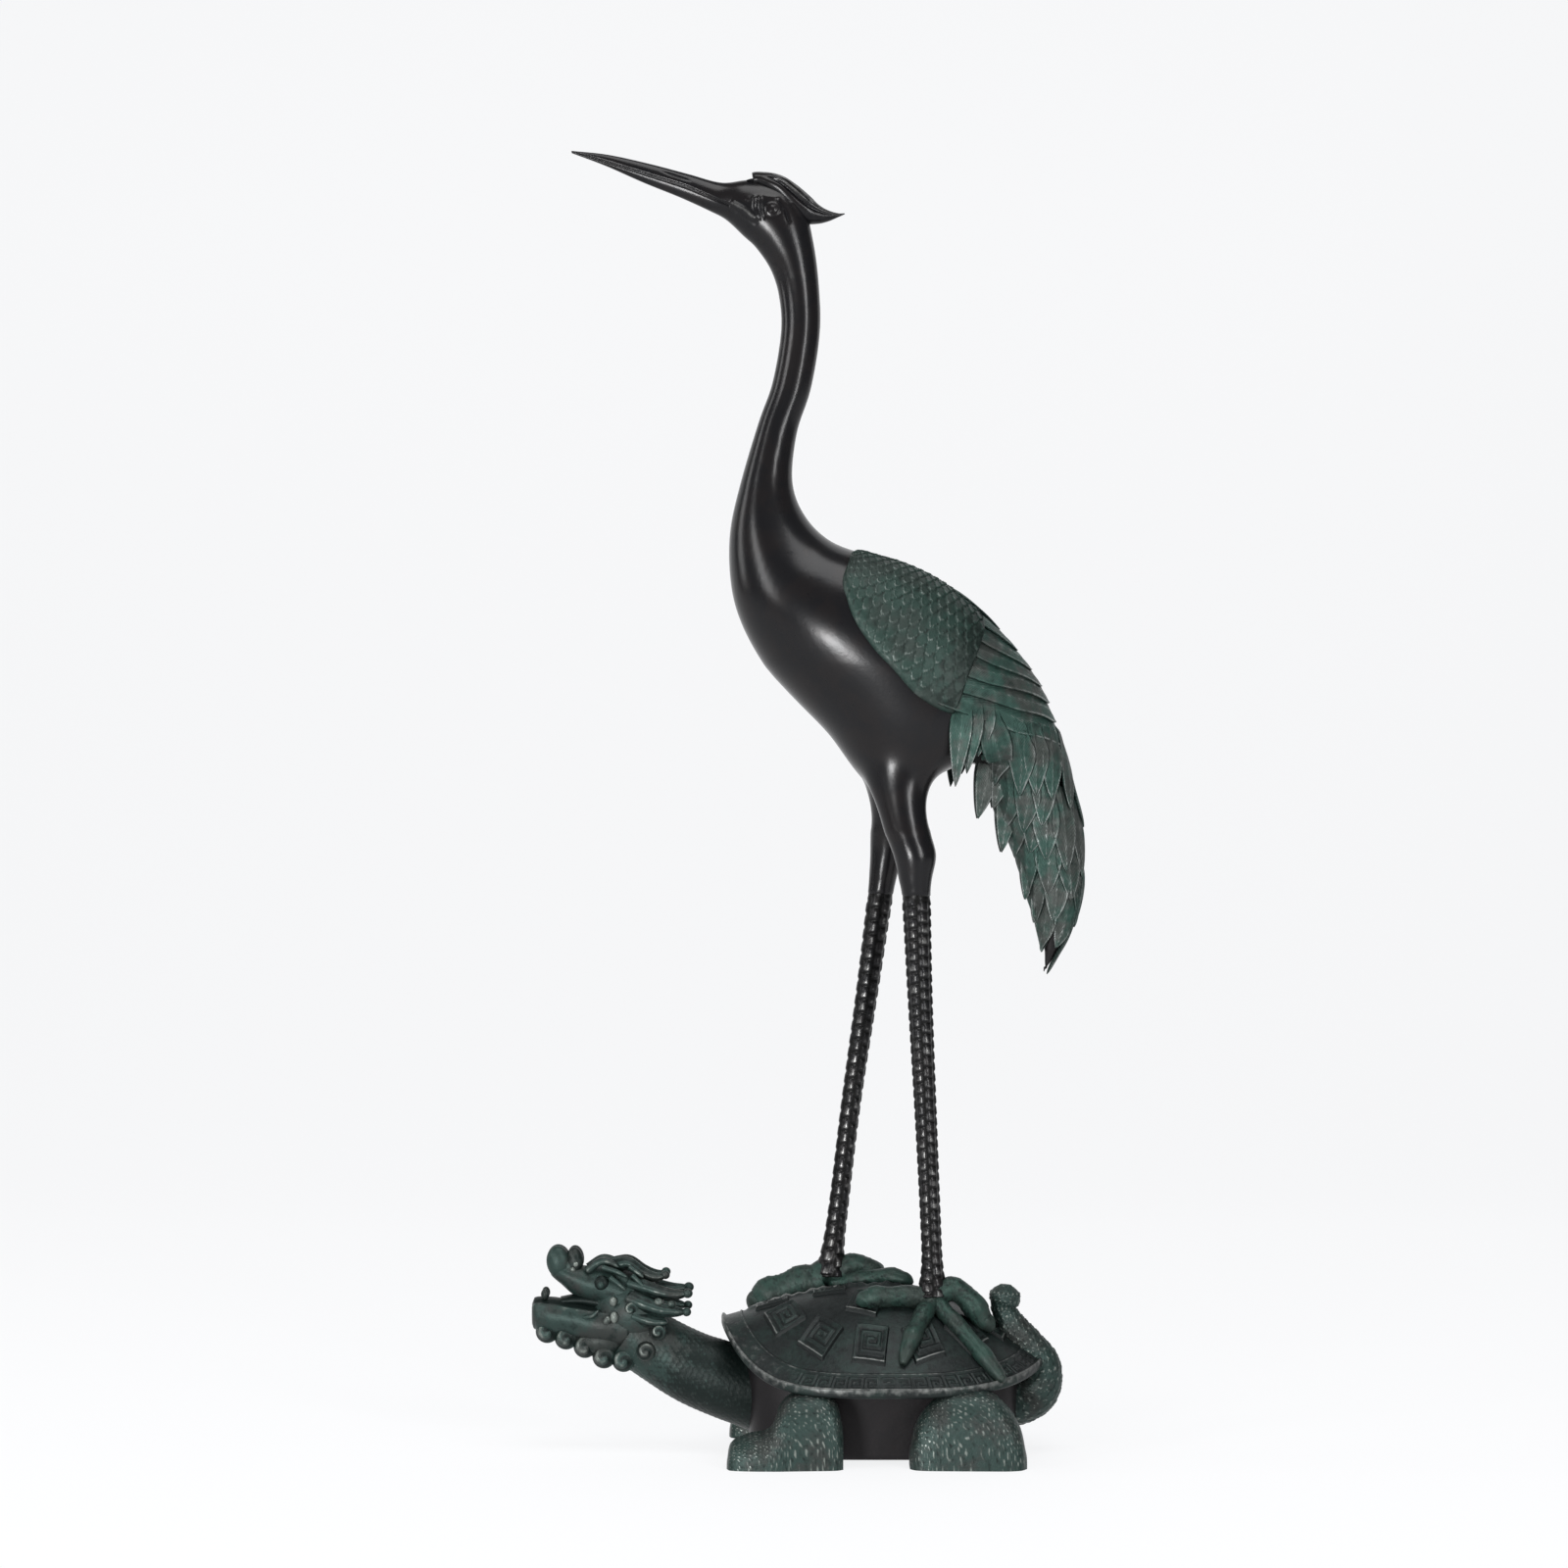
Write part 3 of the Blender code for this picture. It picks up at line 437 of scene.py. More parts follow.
# The eye is a ball in a raised rim with a groove round it. The lines are places in x and z, width and height.
side = head[..., [0, 2]]
EYE, EYE_BALL, EYE_RIM, EYE_GROOVE = np.array([-89.0, 1011.0]), 3.4, 5.0, 7.2
from_eye = np.linalg.norm((side - EYE) * [1, 1.1], axis=-1)
carve = 1.1 * np.sqrt(np.clip(1 - (from_eye / EYE_BALL) ** 2, 0, 1))
carve += 0.5 * bell(from_eye, EYE_RIM, 1.0) - 0.4 * bell(from_eye, EYE_GROOVE, 0.9)
for path, width, height in (
    ([(-121, 1016), (-113, 1011.5), (-104, 1004)], 2.0, 1.7),
    ([(-118, 1009), (-103, 999)], 1.5, -0.4),
    ([(-104, 1021), (-104.5, 1012), (-101, 1003)], 1.1, 0.8),
    ([(-99, 1021), (-99.5, 1012), (-97.5, 1004)], 0.9, 0.6),
    ([(-101.6, 1021), (-102, 1012), (-99, 1003)], 0.8, -0.7),
    ([(-96.6, 1021), (-97, 1013), (-95.5, 1004)], 0.8, -0.7),
    ([(-85, 1019), (-79, 1011), (-76, 1001)], 1.3, -0.9),
    ([(-73, 1017), (-67, 1009), (-62, 1001)], 1.4, 0.9),
    ([(-110, 1019), (-98, 1021.5), (-85, 1020)], 1.4, 0.6),
    ([(-245, 1057.3), (-160, 1031), (-124, 1014.5)], 0.9, -0.9),
    ([(-176, 1042), (-160, 1036.5)], 0.9, -0.8),
):
    carve += height * ridge(side, path, width)
sideways = np.abs(np.sin(np.radians(degrees))) ** 0.5
head = head + out * (carve * sideways)[..., None]
head_relief = np.clip(0.5 + 0.27 * carve, 0, 1) * sideways
CRANE = "black_bronze", "crane"
make_piece("crane_head", [plain(head, head_relief)], black_bronze, *CRANE)


# Crane's trunk and thighs are one smooth casting, so their skins are run together and the joins are faired. Its
# figures are millimetres of x, y and z down the middle of each leg, then half length and half width.
LEGS = {
    "near": [
        (38, -10, 636, 12, 10), (30, -10, 605, 22, 16), (17, -19, 572, 32, 23),
        (13, -22.5, 548, 29.5, 22.5), (14.5, -28, 526, 22.5, 19), (19.5, -31, 506, 19, 16.8),
        (25.7, -34, 486, 17.4, 15.6), (26.2, -34, 466, 13.4, 13), (27.2, -34, 447, 11.4, 11),
        (30, -34, 372, 9.9, 9.9), (34.4, -34, 280, 8.8, 8.8), (38.3, -34, 194.9, 8.2, 8.2),
        (39.8, -34, 156, 8.6, 8.6), (40.2, -35, 130, 12.5, 12.5),
    ],
    "far": [
        (38, 10, 636, 12, 10), (29, 11, 605, 22, 16), (15, 19, 572, 30, 23),
        (10.5, 23.5, 545, 27, 22.5), (9.5, 29, 520, 19, 18.5), (6, 33, 496, 15, 15.5),
        (2.6, 33, 474, 12.2, 12.6), (-1.4, 33, 447, 10.4, 10.4), (-11.4, 33, 374, 9.0, 9.0),
        (-24.8, 33, 281, 8.0, 8.0), (-34.6, 33, 200, 8.0, 8.0), (-39.6, 33, 162, 9.2, 9.2),
        (-42.5, 32, 139, 13.5, 13.5),
    ],
}
LEG_TOP, KNEE_LOW = 636, 452


def leg_rings(stations, heights, sides):
    """Level ellipses down a leg, and the height and turn of each point."""
    rows = through(stations, 400)
    at = [np.interp(-heights, -rows[:, 2], rows[:, k]) for k in (0, 1, 3, 4)]
    turn = ring_turns(sides)
    x = at[0][:, None] + at[2][:, None] * np.cos(turn)
    y = at[1][:, None] - at[3][:, None] * np.sin(turn)
    z = np.broadcast_to(heights[:, None], x.shape)
    return np.stack([x, y, z], -1), np.broadcast_to(turn, x.shape)


trunk_stations = np.linspace(TRUNK_STARTS, len(BODY) - 1, 200)
station, degrees = np.meshgrid(trunk_stations, np.linspace(0, 360, 97)[:-1], indexing="ij")
trunk = body_point(station, degrees, -DIVE * np.maximum(0, TRUNK_SHOWS - station) ** 2)[0]
thighs = [leg_rings(LEGS[which], np.linspace(LEG_TOP, KNEE_LOW, 90), 48)[0] for which in ("near", "far")]
body = make_piece("crane_body", [plain(each) for each in (trunk, *thighs)], black_bronze, *CRANE)
JOIN_VOXEL, JOIN_LOW, JOIN_HIGH, JOIN_FADE, JOIN_PASSES, FIRST_PASSES = 0.0024, 505, 640, 25, 110, 8


def run_together(piece):
    """Joins a piece's skins into one. A few first passes take the steps off it everywhere, by turns in and out, and
    the rest fair it between two heights, most in the middle of them."""
    remesh = piece.modifiers.new("join", "REMESH")
    remesh.mode, remesh.voxel_size = "VOXEL", JOIN_VOXEL
    graph = bpy.context.evaluated_depsgraph_get()
    joined = bpy.data.meshes.new_from_object(piece.evaluated_get(graph))
    piece.modifiers.clear()
    piece.data = joined
    joined.name = piece.name
    count = len(joined.vertices)
    co = np.empty(count * 3, np.float32)
    joined.vertices.foreach_get("co", co)
    co = co.reshape(-1, 3).astype(float)
    ends = np.empty(len(joined.edges) * 2, np.int32)
    joined.edges.foreach_get("vertices", ends)
    ends = ends.reshape(-1, 2)
    degree = np.bincount(ends.ravel(), minlength=count)[:, None]
    z = co[:, 2] * 1000
    share = ramp(np.minimum(z - JOIN_LOW, JOIN_HIGH - z), 0, JOIN_FADE)[:, None]
    for step in range(JOIN_PASSES):
        total = np.zeros_like(co)
        np.add.at(total, ends[:, 0], co[ends[:, 1]])
        np.add.at(total, ends[:, 1], co[ends[:, 0]])
        first = step < FIRST_PASSES
        pull = np.maximum(share, 0.5) if first else share
        co += (total / degree - co) * pull * (-0.55 if first and step % 2 else 0.6)
    joined.vertices.foreach_set("co", co.astype(np.float32).ravel())
    joined.polygons.foreach_set("use_smooth", np.ones(len(joined.polygons), bool))
    layer = joined.attributes.get("relief") or joined.attributes.new("relief", "FLOAT", "POINT")
    layer.data.foreach_set("value", np.full(count, 0.5, np.float32))
    if not joined.uv_layers:
        joined.uv_layers.new(name="lie")
    if not joined.materials:
        joined.materials.append(black_bronze)
    joined.update()


run_together(body)


# Crest: a cap of feathers laid back from a step at the brow to a point behind the head, with two raised lines
# along each side and a groove under them. Cast with the head: x, z, half height and half width. Each line has its
# degrees from the top, its width in degrees and its height as a share.
CREST = np.array(
    [
        (-105.3, 1036.8, 5.9, 9.6), (-104.8, 1036.8, 6.4, 10.4), (-100, 1036.5, 7.0, 11.5),
        (-92, 1034, 8.9, 14), (-84, 1030, 10.2, 15), (-76, 1023.2, 11.4, 14.5),
        (-68, 1016.2, 11.6, 13), (-60, 1010.8, 10.4, 11), (-52, 1008.2, 7.6, 8),
        (-44, 1007.4, 4.6, 5), (-36, 1008, 1.7, 2.2), (-30.4, 1009.2, 0.4, 0.5),
    ]
)
CREST_STEP, STEP_LONG = -98, 14
CREST_LINES = ((38, 5, 0.085), (48, 4, -0.05), (58, 5, 0.085), (73, 7, -0.13), (15, 6, 0.02))


def bar(path, heights, widths, sides, out=(0, 0, 1)):
    """Ellipses carried along a path, square to it: heights lie along the way called out, widths across it."""
    path = np.asarray(path, float)
    along = unit(np.gradient(path, axis=0))
    across = unit(np.cross(along, np.broadcast_to(np.asarray(out, float), path.shape)))
    rise = np.cross(across, along)
    turn = ring_turns(sides)
    heights = np.broadcast_to(np.asarray(heights, float), len(path))
    widths = np.broadcast_to(np.asarray(widths, float), len(path))
    ring = path[:, None] + rise[:, None] * (heights[:, None] * np.cos(turn))[..., None]
    ring = ring + across[:, None] * (widths[:, None] * np.sin(turn))[..., None]
    return ring, np.broadcast_to(turn, ring.shape[:2])


def from_top(turn):
    """Degrees from the top of a ring, the same down both sides."""
    return np.degrees(np.abs(np.mod(turn + math.pi, 2 * math.pi) - math.pi))


def swell(rings, middle, share):
    """Rings drawn out from their middles, each point by its own share."""
    return middle + (rings - middle) * share[..., None]


row = through(CREST, 110)
path = np.column_stack([row[:, 0], row[:, 0] * 0, row[:, 1]])
rings, turn = bar(path, row[:, 2], row[:, 3], 120)
fold = from_top(turn)
lines = sum(height * bell(fold, at, wide) for at, wide, height in CREST_LINES)
lines = lines * ramp(row[:, :1], CREST_STEP, STEP_LONG)
crest_relief = np.clip(0.52 + 6.0 * lines - 0.3 * (fold > 100), 0, 1)
make_piece("crane_crest", [plain(swell(rings, path[:, None], 1 + lines), crest_relief)], black_bronze, *CRANE)


# Wing coverts: on each folded wing, rows of small overlapping scales whose tips point down, chased in the wax and
# left green in their hollows. The borders of the patch are places in the photograph, carried onto the body.
COVERT_TOP = [(868, 565), (884, 562.5), (902, 567.5), (922, 573), (942, 582), (962, 592.5), (980, 605), (993, 615)]
COVERT_LOW = [
    (867, 567), (860, 590), (864, 612), (873, 636), (889, 660), (908, 681), (928, 704), (948, 720), (971, 731),
]
COVERT_REAR = [(993, 615), (1001, 632), (1001, 652), (994, 674), (986, 695), (981, 712), (973, 730)]
COVERT_ROWS, COVERT_COLUMNS, COVERT_LIFT, SCALE_RISE = 12, 17, 4.6, 1.5
COVERT_LONG, COVERT_DEEP = 150, 116  # points along the patch and down it
BORDER_FROM, PHOTO_MIDDLE = 0.955, 800


def place(px, py, depth):
    """Side-on place in millimetres of a point of the photograph that lies this deep towards the camera."""
    scale = PHOTO_MM * (CAMERA_AWAY - depth) / CAMERA_AWAY
    return np.stack([CAMERA_SIDE + (px - PHOTO_MIDDLE) * scale, CAMERA_UP + (PHOTO_MIDDLE - py) * scale], -1)


def on_body(points):
    """Station and degrees of places seen from the side: the station whose line from back to front passes there."""
    t = np.linspace(14, 30, 1601)
    row = spline(BODY, t)
    back, front = row[:, :2], row[:, 2:4]
    run = front - back
    gap = points[:, None] - back
    off = gap[..., 0] * run[:, 1] - gap[..., 1] * run[:, 0]
    share = np.sum(gap * run, -1) / np.sum(run * run, -1)
    miss = np.abs(off) / np.linalg.norm(run, axis=1) + 40 * np.maximum(0, np.abs(share - 0.5) - 0.55)
    best = miss.argmin(axis=1)
    share = np.clip(share[np.arange(len(points)), best], 0.0008, 0.995)
    return t[best], np.degrees(np.arccos(1 - 2 * share))


def seen_on_body(seen):
    """Station and degrees of places in the photograph, allowing for how near the camera the body is there."""
    seen = np.asarray(seen, float)
    depth = np.full(len(seen), 40.0)
    for again in range(3):
        station, degrees = on_body(place(seen[:, 0], seen[:, 1], depth))
        depth = -body_point(station, degrees)[0][:, 1]
    return np.column_stack([station, degrees])


def reached(path):
    """Distance along a path to each of its points."""
    return np.concatenate([[0], np.cumsum(np.linalg.norm(np.diff(path, axis=0), axis=1))])


def even_steps(seen, count):
    """Station and degrees at even steps along a line through places in the photograph."""
    track = through(seen_on_body(seen), 400)
    length = reached(body_point(track[:, 0], track[:, 1])[0])
    at = np.linspace(0, length[-1], count)
    return np.column_stack([np.interp(at, length, track[:, k]) for k in (0, 1)])


def scales(along, across):
    """Rows of overlapping round-tipped scales, staggered row by row. Each rises from its root and has a lip."""
    height = np.zeros(np.broadcast(along, across).shape)
    for back in (0, 1):
        row = np.floor(along) - back
        share = (along - row) / 2
        off = np.mod(across + 0.5 * np.mod(row, 2), 1) - 0.5
        end = 1 - 0.5 * np.abs(2 * off) ** 2.2
        rise = 0.12 + 0.48 * share + 0.4 * bell(end, share, 0.10)
        height = np.maximum(height, (share < end) * rise)
    return height


top, low = even_steps(COVERT_TOP, COVERT_LONG), even_steps(COVERT_LOW, COVERT_LONG)
rear = even_steps(COVERT_REAR, COVERT_DEEP)
u, w = np.meshgrid(np.linspace(0, 1, COVERT_LONG), np.linspace(0, 1, COVERT_DEEP), indexing="ij")
patch = top[:, None] * (1 - w[..., None]) + low[:, None] * w[..., None]
bulge = rear - (top[-1] * (1 - w[0, :, None]) + low[-1] * w[0, :, None])
patch = patch + bulge[None] * (u**4)[..., None]
pattern = scales(w * COVERT_ROWS + 0.8 * u, u * COVERT_COLUMNS + 0.7 * w)
edge = np.clip(np.minimum(12 * (1 - w), 12 * u), 0, 1)
border = ramp(w, BORDER_FROM, 0.01)
carved = (1 - border) * np.clip(edge * 1.5, 0, 1)
lift = COVERT_LIFT * np.sqrt(edge) * (0.35 + 0.65 * np.clip(3 * w, 0, 1)) + SCALE_RISE * (pattern - 0.5) * carved
lift[edge <= 0] = -1.5
lift[-1] = -3.0
patch[-1] = patch[-2]
outer = body_point(patch[..., 0], patch[..., 1], lift)[0]
under = patch[:, ::-10]
inner = body_point(under[..., 0], under[..., 1], under[..., 0] * 0 - 6.0)[0]
relief = np.clip(pattern * (1 - border) + 0.72 * border, 0, 1) * np.clip(0.3 + 4 * (1 - u), 0, 1)
coverts = (
    np.concatenate([outer, inner], axis=1),
    np.concatenate([relief, inner[..., 0] * 0], axis=1),
    np.stack([np.pad(w, ((0, 0), (0, inner.shape[1])), mode="edge") * 9] * 2, -1),
)
make_piece("crane_coverts", mirrored([coverts]), covert_bronze, *CRANE)


# Flight feathers: seven long blades under the coverts' rear edge that run to the ridge of the back, each laid over
# the next lower one. Places in the photograph from root to tip, then half width and how far the lower edge stands.
FEATHER_STEPS, VANE_TOP, VANE_BACK = 36, 21, 4  # points along a feather, across its face and across its back
FLIGHT = [
    ([(966, 601), (1001, 622), (1021, 642)], 7.0, 0.9),
    ([(966, 616), (1010, 641), (1037, 664)], 9.0, 1.0),
    ([(966, 632), (1018, 659), (1050, 684)], 9.5, 1.1),
    ([(964, 650), (1024, 675), (1060, 700)], 10.0, 1.2),
    ([(958, 670), (1022, 690), (1069, 716)], 11.0, 1.3),
    ([(952, 688), (1018, 707), (1047, 716), (1077, 735)], 10.5, 1.4),
    ([(950, 704), (1016, 725), (1050, 737), (1084, 757)], 12.5, 1.5),
]


def blade(path, out, half, thick=2.4, quill=0.5, tilt=0.0, point=1.35, full=0.5):
    """Feather along a path: cambered, with a quill up its middle, a lip at its edges and a flat back. Its width
    swells from the root and draws in to a point; tilt lifts the edge that is lower down."""
    s = np.linspace(0, 1, len(path))
    along = unit(np.gradient(path, axis=0))
    side = unit(np.cross(along, out))
    side = side * (1 if np.sum(side @ np.array([-0.3, 0, -1.0])) > 0 else -1)
    draw = np.clip(1 - ramp(s, full, 1 - full) ** point, 0.012, 1) ** 0.8
    width = half * np.minimum(1, 0.65 + 0.9 * s) * draw
    v = np.concatenate([np.linspace(-1, 1, VANE_TOP), np.linspace(0.8, -0.8, VANE_BACK)])
    top = np.arange(len(v)) < VANE_TOP
    lip, spine = bell(np.abs(v), 0.88, 0.08), bell(v, 0, 0.12)
    form = np.where(top, 1 - v**2 + quill * spine + 0.45 * lip, -thick)
    height = form[None] * np.sqrt(np.clip(1 - s**12, 0.03, 1))[:, None] + tilt * v[None]
    rings = path[:, None] + side[:, None] * (width[:, None] * v)[..., None] + out[:, None] * height[..., None]
    length = reached(path)[:, None] / 10
    lie = np.stack([np.broadcast_to(length, height.shape), width[:, None] * v / 10], -1)
    tip = s[:, None]
    relief = 0.32 + 0.16 * tip + spine * (0.06 + 0.14 * tip) + lip * (0.10 + 0.52 * tip**2)
    relief = relief * np.where(np.abs(v) > 0.97, 0.2, 1.0) * top
    return rings, relief, lie


def laid_feather(seen, half, low, high, tilt=0.0, **form):
    """Feather laid on the body through places in the photograph: its root is sunk, its tip stands off."""
    track = through(seen_on_body(seen), FEATHER_STEPS)
    s = np.linspace(0, 1, FEATHER_STEPS)
    path, out = body_point(track[:, 0], track[:, 1], low + (high - low) * s - 3.5 * np.exp(-s / 0.03))
    return blade(path, out, half, tilt=tilt, **form)


flight = []
for k, (seen, half, tilt) in enumerate(FLIGHT):
    low, high = 2.4 - 0.12 * k, 2.0 - 0.08 * k
    flight.append(laid_feather(seen, half, low, high, tilt, quill=0.25, point=2.4, full=0.84))
make_piece("crane_flight_feathers", mirrored(flight), wing_bronze, *CRANE)


# Tail feathers laid on the body, the lowest row first: broad, pointed, overlapping like tiles. Each has places in
# the photograph from root to tip, half width, and how far its root and its tip stand off.
TAIL_FEATHERS = [
    ([(1100, 872), (1102, 905), (1090, 955), (1066, 993)], 7.5, 0.8, 1.4),
    ([(1066, 900), (1068, 940), (1064, 972)], 8.0, 0.8, 2.0),
    ([(1086, 880), (1087, 930), (1076, 966)], 8.5, 0.8, 2.2),
    ([(1056, 880), (1058, 915), (1057, 942)], 8.5, 0.8, 2.6),
    ([(1074, 860), (1078, 905), (1075, 940)], 9.0, 1.0, 3.0),
    ([(1093, 860), (1098, 905), (1094, 945)], 7.5, 1.0, 3.0),
    ([(1046, 840), (1050, 880), (1050, 914)], 9.0, 1.2, 3.2),
    ([(1064, 835), (1070, 875), (1070, 912)], 9.5, 1.2, 3.6),
    ([(1084, 835), (1089, 880), (1090, 918)], 9.0, 1.2, 3.4),
    ([(1032, 810), (1038, 845), (1041, 874)], 9.0, 1.4, 3.6),
    ([(1050, 800), (1056, 840), (1054, 868)], 9.0, 1.4, 4.0),
    ([(1064, 800), (1067, 840), (1068, 876)], 9.5, 1.4, 4.6),
    ([(1079, 800), (1084, 845), (1086, 889)], 9.0, 1.4, 4.4),
    ([(1091, 800), (1097, 850), (1099, 895)], 7.5, 1.4, 3.8),
    ([(1010, 770), (1016, 810), (1019, 842)], 9.0, 1.4, 3.6),
    ([(1026, 775), (1032, 815), (1030, 846)], 9.0, 1.6, 4.2),
    ([(1042, 775), (1049, 812), (1047, 848)], 9.0, 1.8, 4.8),
    ([(1058, 775), (1064, 808), (1063, 842)], 8.5, 1.8, 5.0),
    ([(1090, 745), (1096, 795), (1100, 845)], 7.5, 1.8, 4.4),
    ([(1079, 740), (1084, 785), (1087, 826)], 8.0, 1.8, 5.2),
    ([(1066, 735), (1070, 775), (1071, 816)], 9.0, 1.8, 5.6),
    ([(1050, 732), (1055, 770), (1057, 811)], 9.5, 2.0, 5.8),
    ([(1034, 728), (1041, 768), (1043, 810)], 10.0, 2.0, 6.2),
    ([(1006, 720), (1016, 760), (1021, 799)], 10.5, 2.0, 6.6),
]
OVERLAP, TIP_OFF = 1.25, 0.8
tail = [laid_feather(seen, OVERLAP * half, low, high + TIP_OFF) for seen, half, low, high in TAIL_FEATHERS]
make_piece("crane_tail_feathers", mirrored(tail), wing_bronze, *CRANE)

# Feathers that hang free of the body, at the flank and along the tail's front edge: root, middle and tip in
# millimetres, then half width.
HANGING = [
    ((65, -50, 618), (62, -56.5, 586), (57.8, -53, 541.5), 9.5),
    ((74, -48, 618), (72, -55, 588), (67, -51, 552), 8.5),
    ((84, -45, 614), (82, -51.5, 592), (76, -48, 566), 8.0),
    ((92, -22, 592), (86, -19, 552), (77.8, -14, 515.5), 10.5),
    ((104, -24, 585), (98, -22, 552), (90, -18, 524), 9.0),
    ((106, -18, 562), (102, -16, 524), (97, -12, 488), 10.0),
    ((118, -15, 532), (114, -13, 506), (112.6, -10, 483), 7.5),
    ((126, -13, 516), (121, -11, 482), (116.5, -7, 449.5), 9.0),
    ((134, -10, 488), (129, -8, 458), (123.6, -5, 430.5), 8.0),
    ((140, -8, 466), (136, -6, 434), (130, -3, 406.5), 7.0),
]
outward = np.tile(unit(np.array([-0.15, -1.0, 0.1])), (FEATHER_STEPS, 1))
hanging = [blade(through(places, FEATHER_STEPS), outward, half, thick=3.4) for *places, half in HANGING]
make_piece("crane_hanging_feathers", mirrored(hanging), wing_bronze, *CRANE)


# Shanks: ringed with overlapping scutes in columns, black between them and rubbed bright on their faces; a painted
# highlight also makes the plates brightest on the near and far sides of each leg, dimming towards its front and back.
SCUTE_COLUMNS, SCUTES_FADE = 6, 6
SCUTE_PITCH = {"near": 8.9, "far": 10.8}
SCUTE_TURN = {"near": 0.5, "far": 0.67}


def scutes(height, turn, pitch, columns, shift):
    """Rounded plates in columns round a leg, each raised most at its lower edge, staggered from column to column."""
    column = turn / (2 * math.pi) * columns + shift
    off = np.abs(np.mod(column, 1) - 0.5)
    share = np.mod(-height / pitch + 0.5 * np.mod(np.floor(column), 2), 1)
    ends = np.clip(6 * np.minimum(share - 0.1, 1 - share), 0, 1)
    return np.clip(6 * (0.42 - off), 0, 1) * ends * (0.55 + 0.45 * share)


shanks = []
for which in ("near", "far"):
    bottom = LEGS[which][-1][2]
    rings, turn = leg_rings(LEGS[which], np.linspace(KNEE_LOW + SCUTES_FADE, bottom, 330), 54)
    plates = scutes(rings[..., 2], turn, SCUTE_PITCH[which], SCUTE_COLUMNS, SCUTE_TURN[which])
    plates = plates * ramp(KNEE_LOW, rings[..., 2], SCUTES_FADE)
    rings = swell(rings, rings.mean(axis=1, keepdims=True), 0.95 + 0.11 * plates)
    # Painted highlight: the plates' rub colour is strongest on the near and far sides of the leg and fades towards
    # its front and back, as a sheen would fall.
    painted_sheen = 0.45 + 0.55 * np.abs(np.sin(turn)) ** 2
    shanks.append(plain(rings, 0.08 + 0.80 * plates * painted_sheen))
make_piece("crane_shanks", shanks, leg_bronze, *CRANE)


# Toes: bent over the shell they lie on, pebbled with small scales that run down to blunt claws. Cast with the legs.
# The shell's own figures come here, because the toes are fitted to it. Its plan is an oval squared by this power.
SHELL_LONG, SHELL_WIDE, SHELL_TOP, RIM_SIDE, RIM_FRONT_RISE, RIM_BACK_RISE = 262, 210, 134, 61, 47.5, 15.5
SQUARENESS = 2.3


def rim_height(cosine):
    """Height of the shell's edge: level at the sides, rising much in front and a little behind."""
    return RIM_SIDE + np.maximum(-cosine, 0) ** 5 * RIM_FRONT_RISE + np.maximum(cosine, 0) ** 4 * RIM_BACK_RISE


def shell_height(x, y):
    """Height of the shell over a place in plan: from its edge up to a flat dome."""
    long, wide = np.abs(x) / (SHELL_LONG / 2), np.abs(y) / (SHELL_WIDE / 2)
    share = np.clip((long**SQUARENESS + wide**SQUARENESS) ** (1 / SQUARENESS), 1e-6, 1)
    edge = rim_height(np.clip(x / (SHELL_LONG / 2) / share, -1, 1))
    return edge + (SHELL_TOP - edge) * (1 - share**2) ** 1.2


def toe(ankle, bearing, reach, radius, claw, arch, depth):
    """Toe that runs out from the ankle over the shell, swelling at each joint, and narrows to a claw."""
    turn = math.radians(bearing)
    way = np.array([-math.cos(turn), -math.sin(turn)])
    share = np.linspace(0, 1 + claw / reach, 92)
    tip = ramp(share, 1, claw / reach)
    joints = 1 + 0.035 * np.cos(share * 5 * math.pi)
    r = radius * joints * (1 - 0.16 * share + 0.12 * bell(share, 0.88, 0.1))
    r = r * (1 - tip) + tip * radius * 0.34 + 0.16 * radius * np.sin(np.pi * tip)
    r = r * np.sqrt(np.clip((share + 0.02) / 0.1, 0.2, 1))
    plan = np.array(ankle) + way * (share * reach)[:, None]
    top = shell_height(plan[:, 0], plan[:, 1])
    rise = np.maximum(0, 1 - share / 0.28) ** 2 * 6
    z = top + r * 0.75 * depth + rise + arch * np.sin(np.clip(share, 0, 1) * math.pi) + 1.0
    path = np.column_stack([plan, z])
    rings, ring_turn = bar(path, r * depth, r, 40)
    pebbles = scales(share[:, None] * reach / PEBBLE_PITCH, ring_turn / (2 * math.pi) * PEBBLES_ROUND)
    fleshy = (1 - tip)[:, None]
    end = bell(share, 0.92, 0.1)[:, None] * (np.cos(ring_turn) > -0.2)
    relief = fleshy * (0.16 + 0.42 * pebbles + 0.16 * end) + tip[:, None] * 0.42
    return plain(swell(rings, path[:, None], 0.97 + 0.06 * fleshy * pebbles), relief)


PEBBLE_PITCH, PEBBLES_ROUND = 5.2, 9
NEAR_ANKLE, FAR_ANKLE = (40.2, -35), (-42.5, 32)
# Each toe's ankle, bearing from dead ahead, reach, radius, claw, how high it arches and how deep it is for its width.
TOES = (
    (NEAR_ANKLE, 6, 54, 9.5, 6, 0, 1.0),
    (NEAR_ANKLE, 64, 46, 8.0, 12, 0, 1.0),
    (NEAR_ANKLE, 140, 60, 7.5, 13, 0, 1.0),
    (NEAR_ANKLE, 182, 40, 10.5, 8, 14, 1.0),
    (FAR_ANKLE, -6, 57, 12.0, 5, 5, 1.3),
    (FAR_ANKLE, -75, 50, 8.0, 12, 0, 1.0),
    (FAR_ANKLE, 158, 64, 8.0, 8, 1, 1.0),
    (FAR_ANKLE, 186, 42, 11.0, 6, 15, 1.0),
)
make_piece("crane_toes", [toe(*figures) for figures in TOES], scale_bronze, *CRANE)


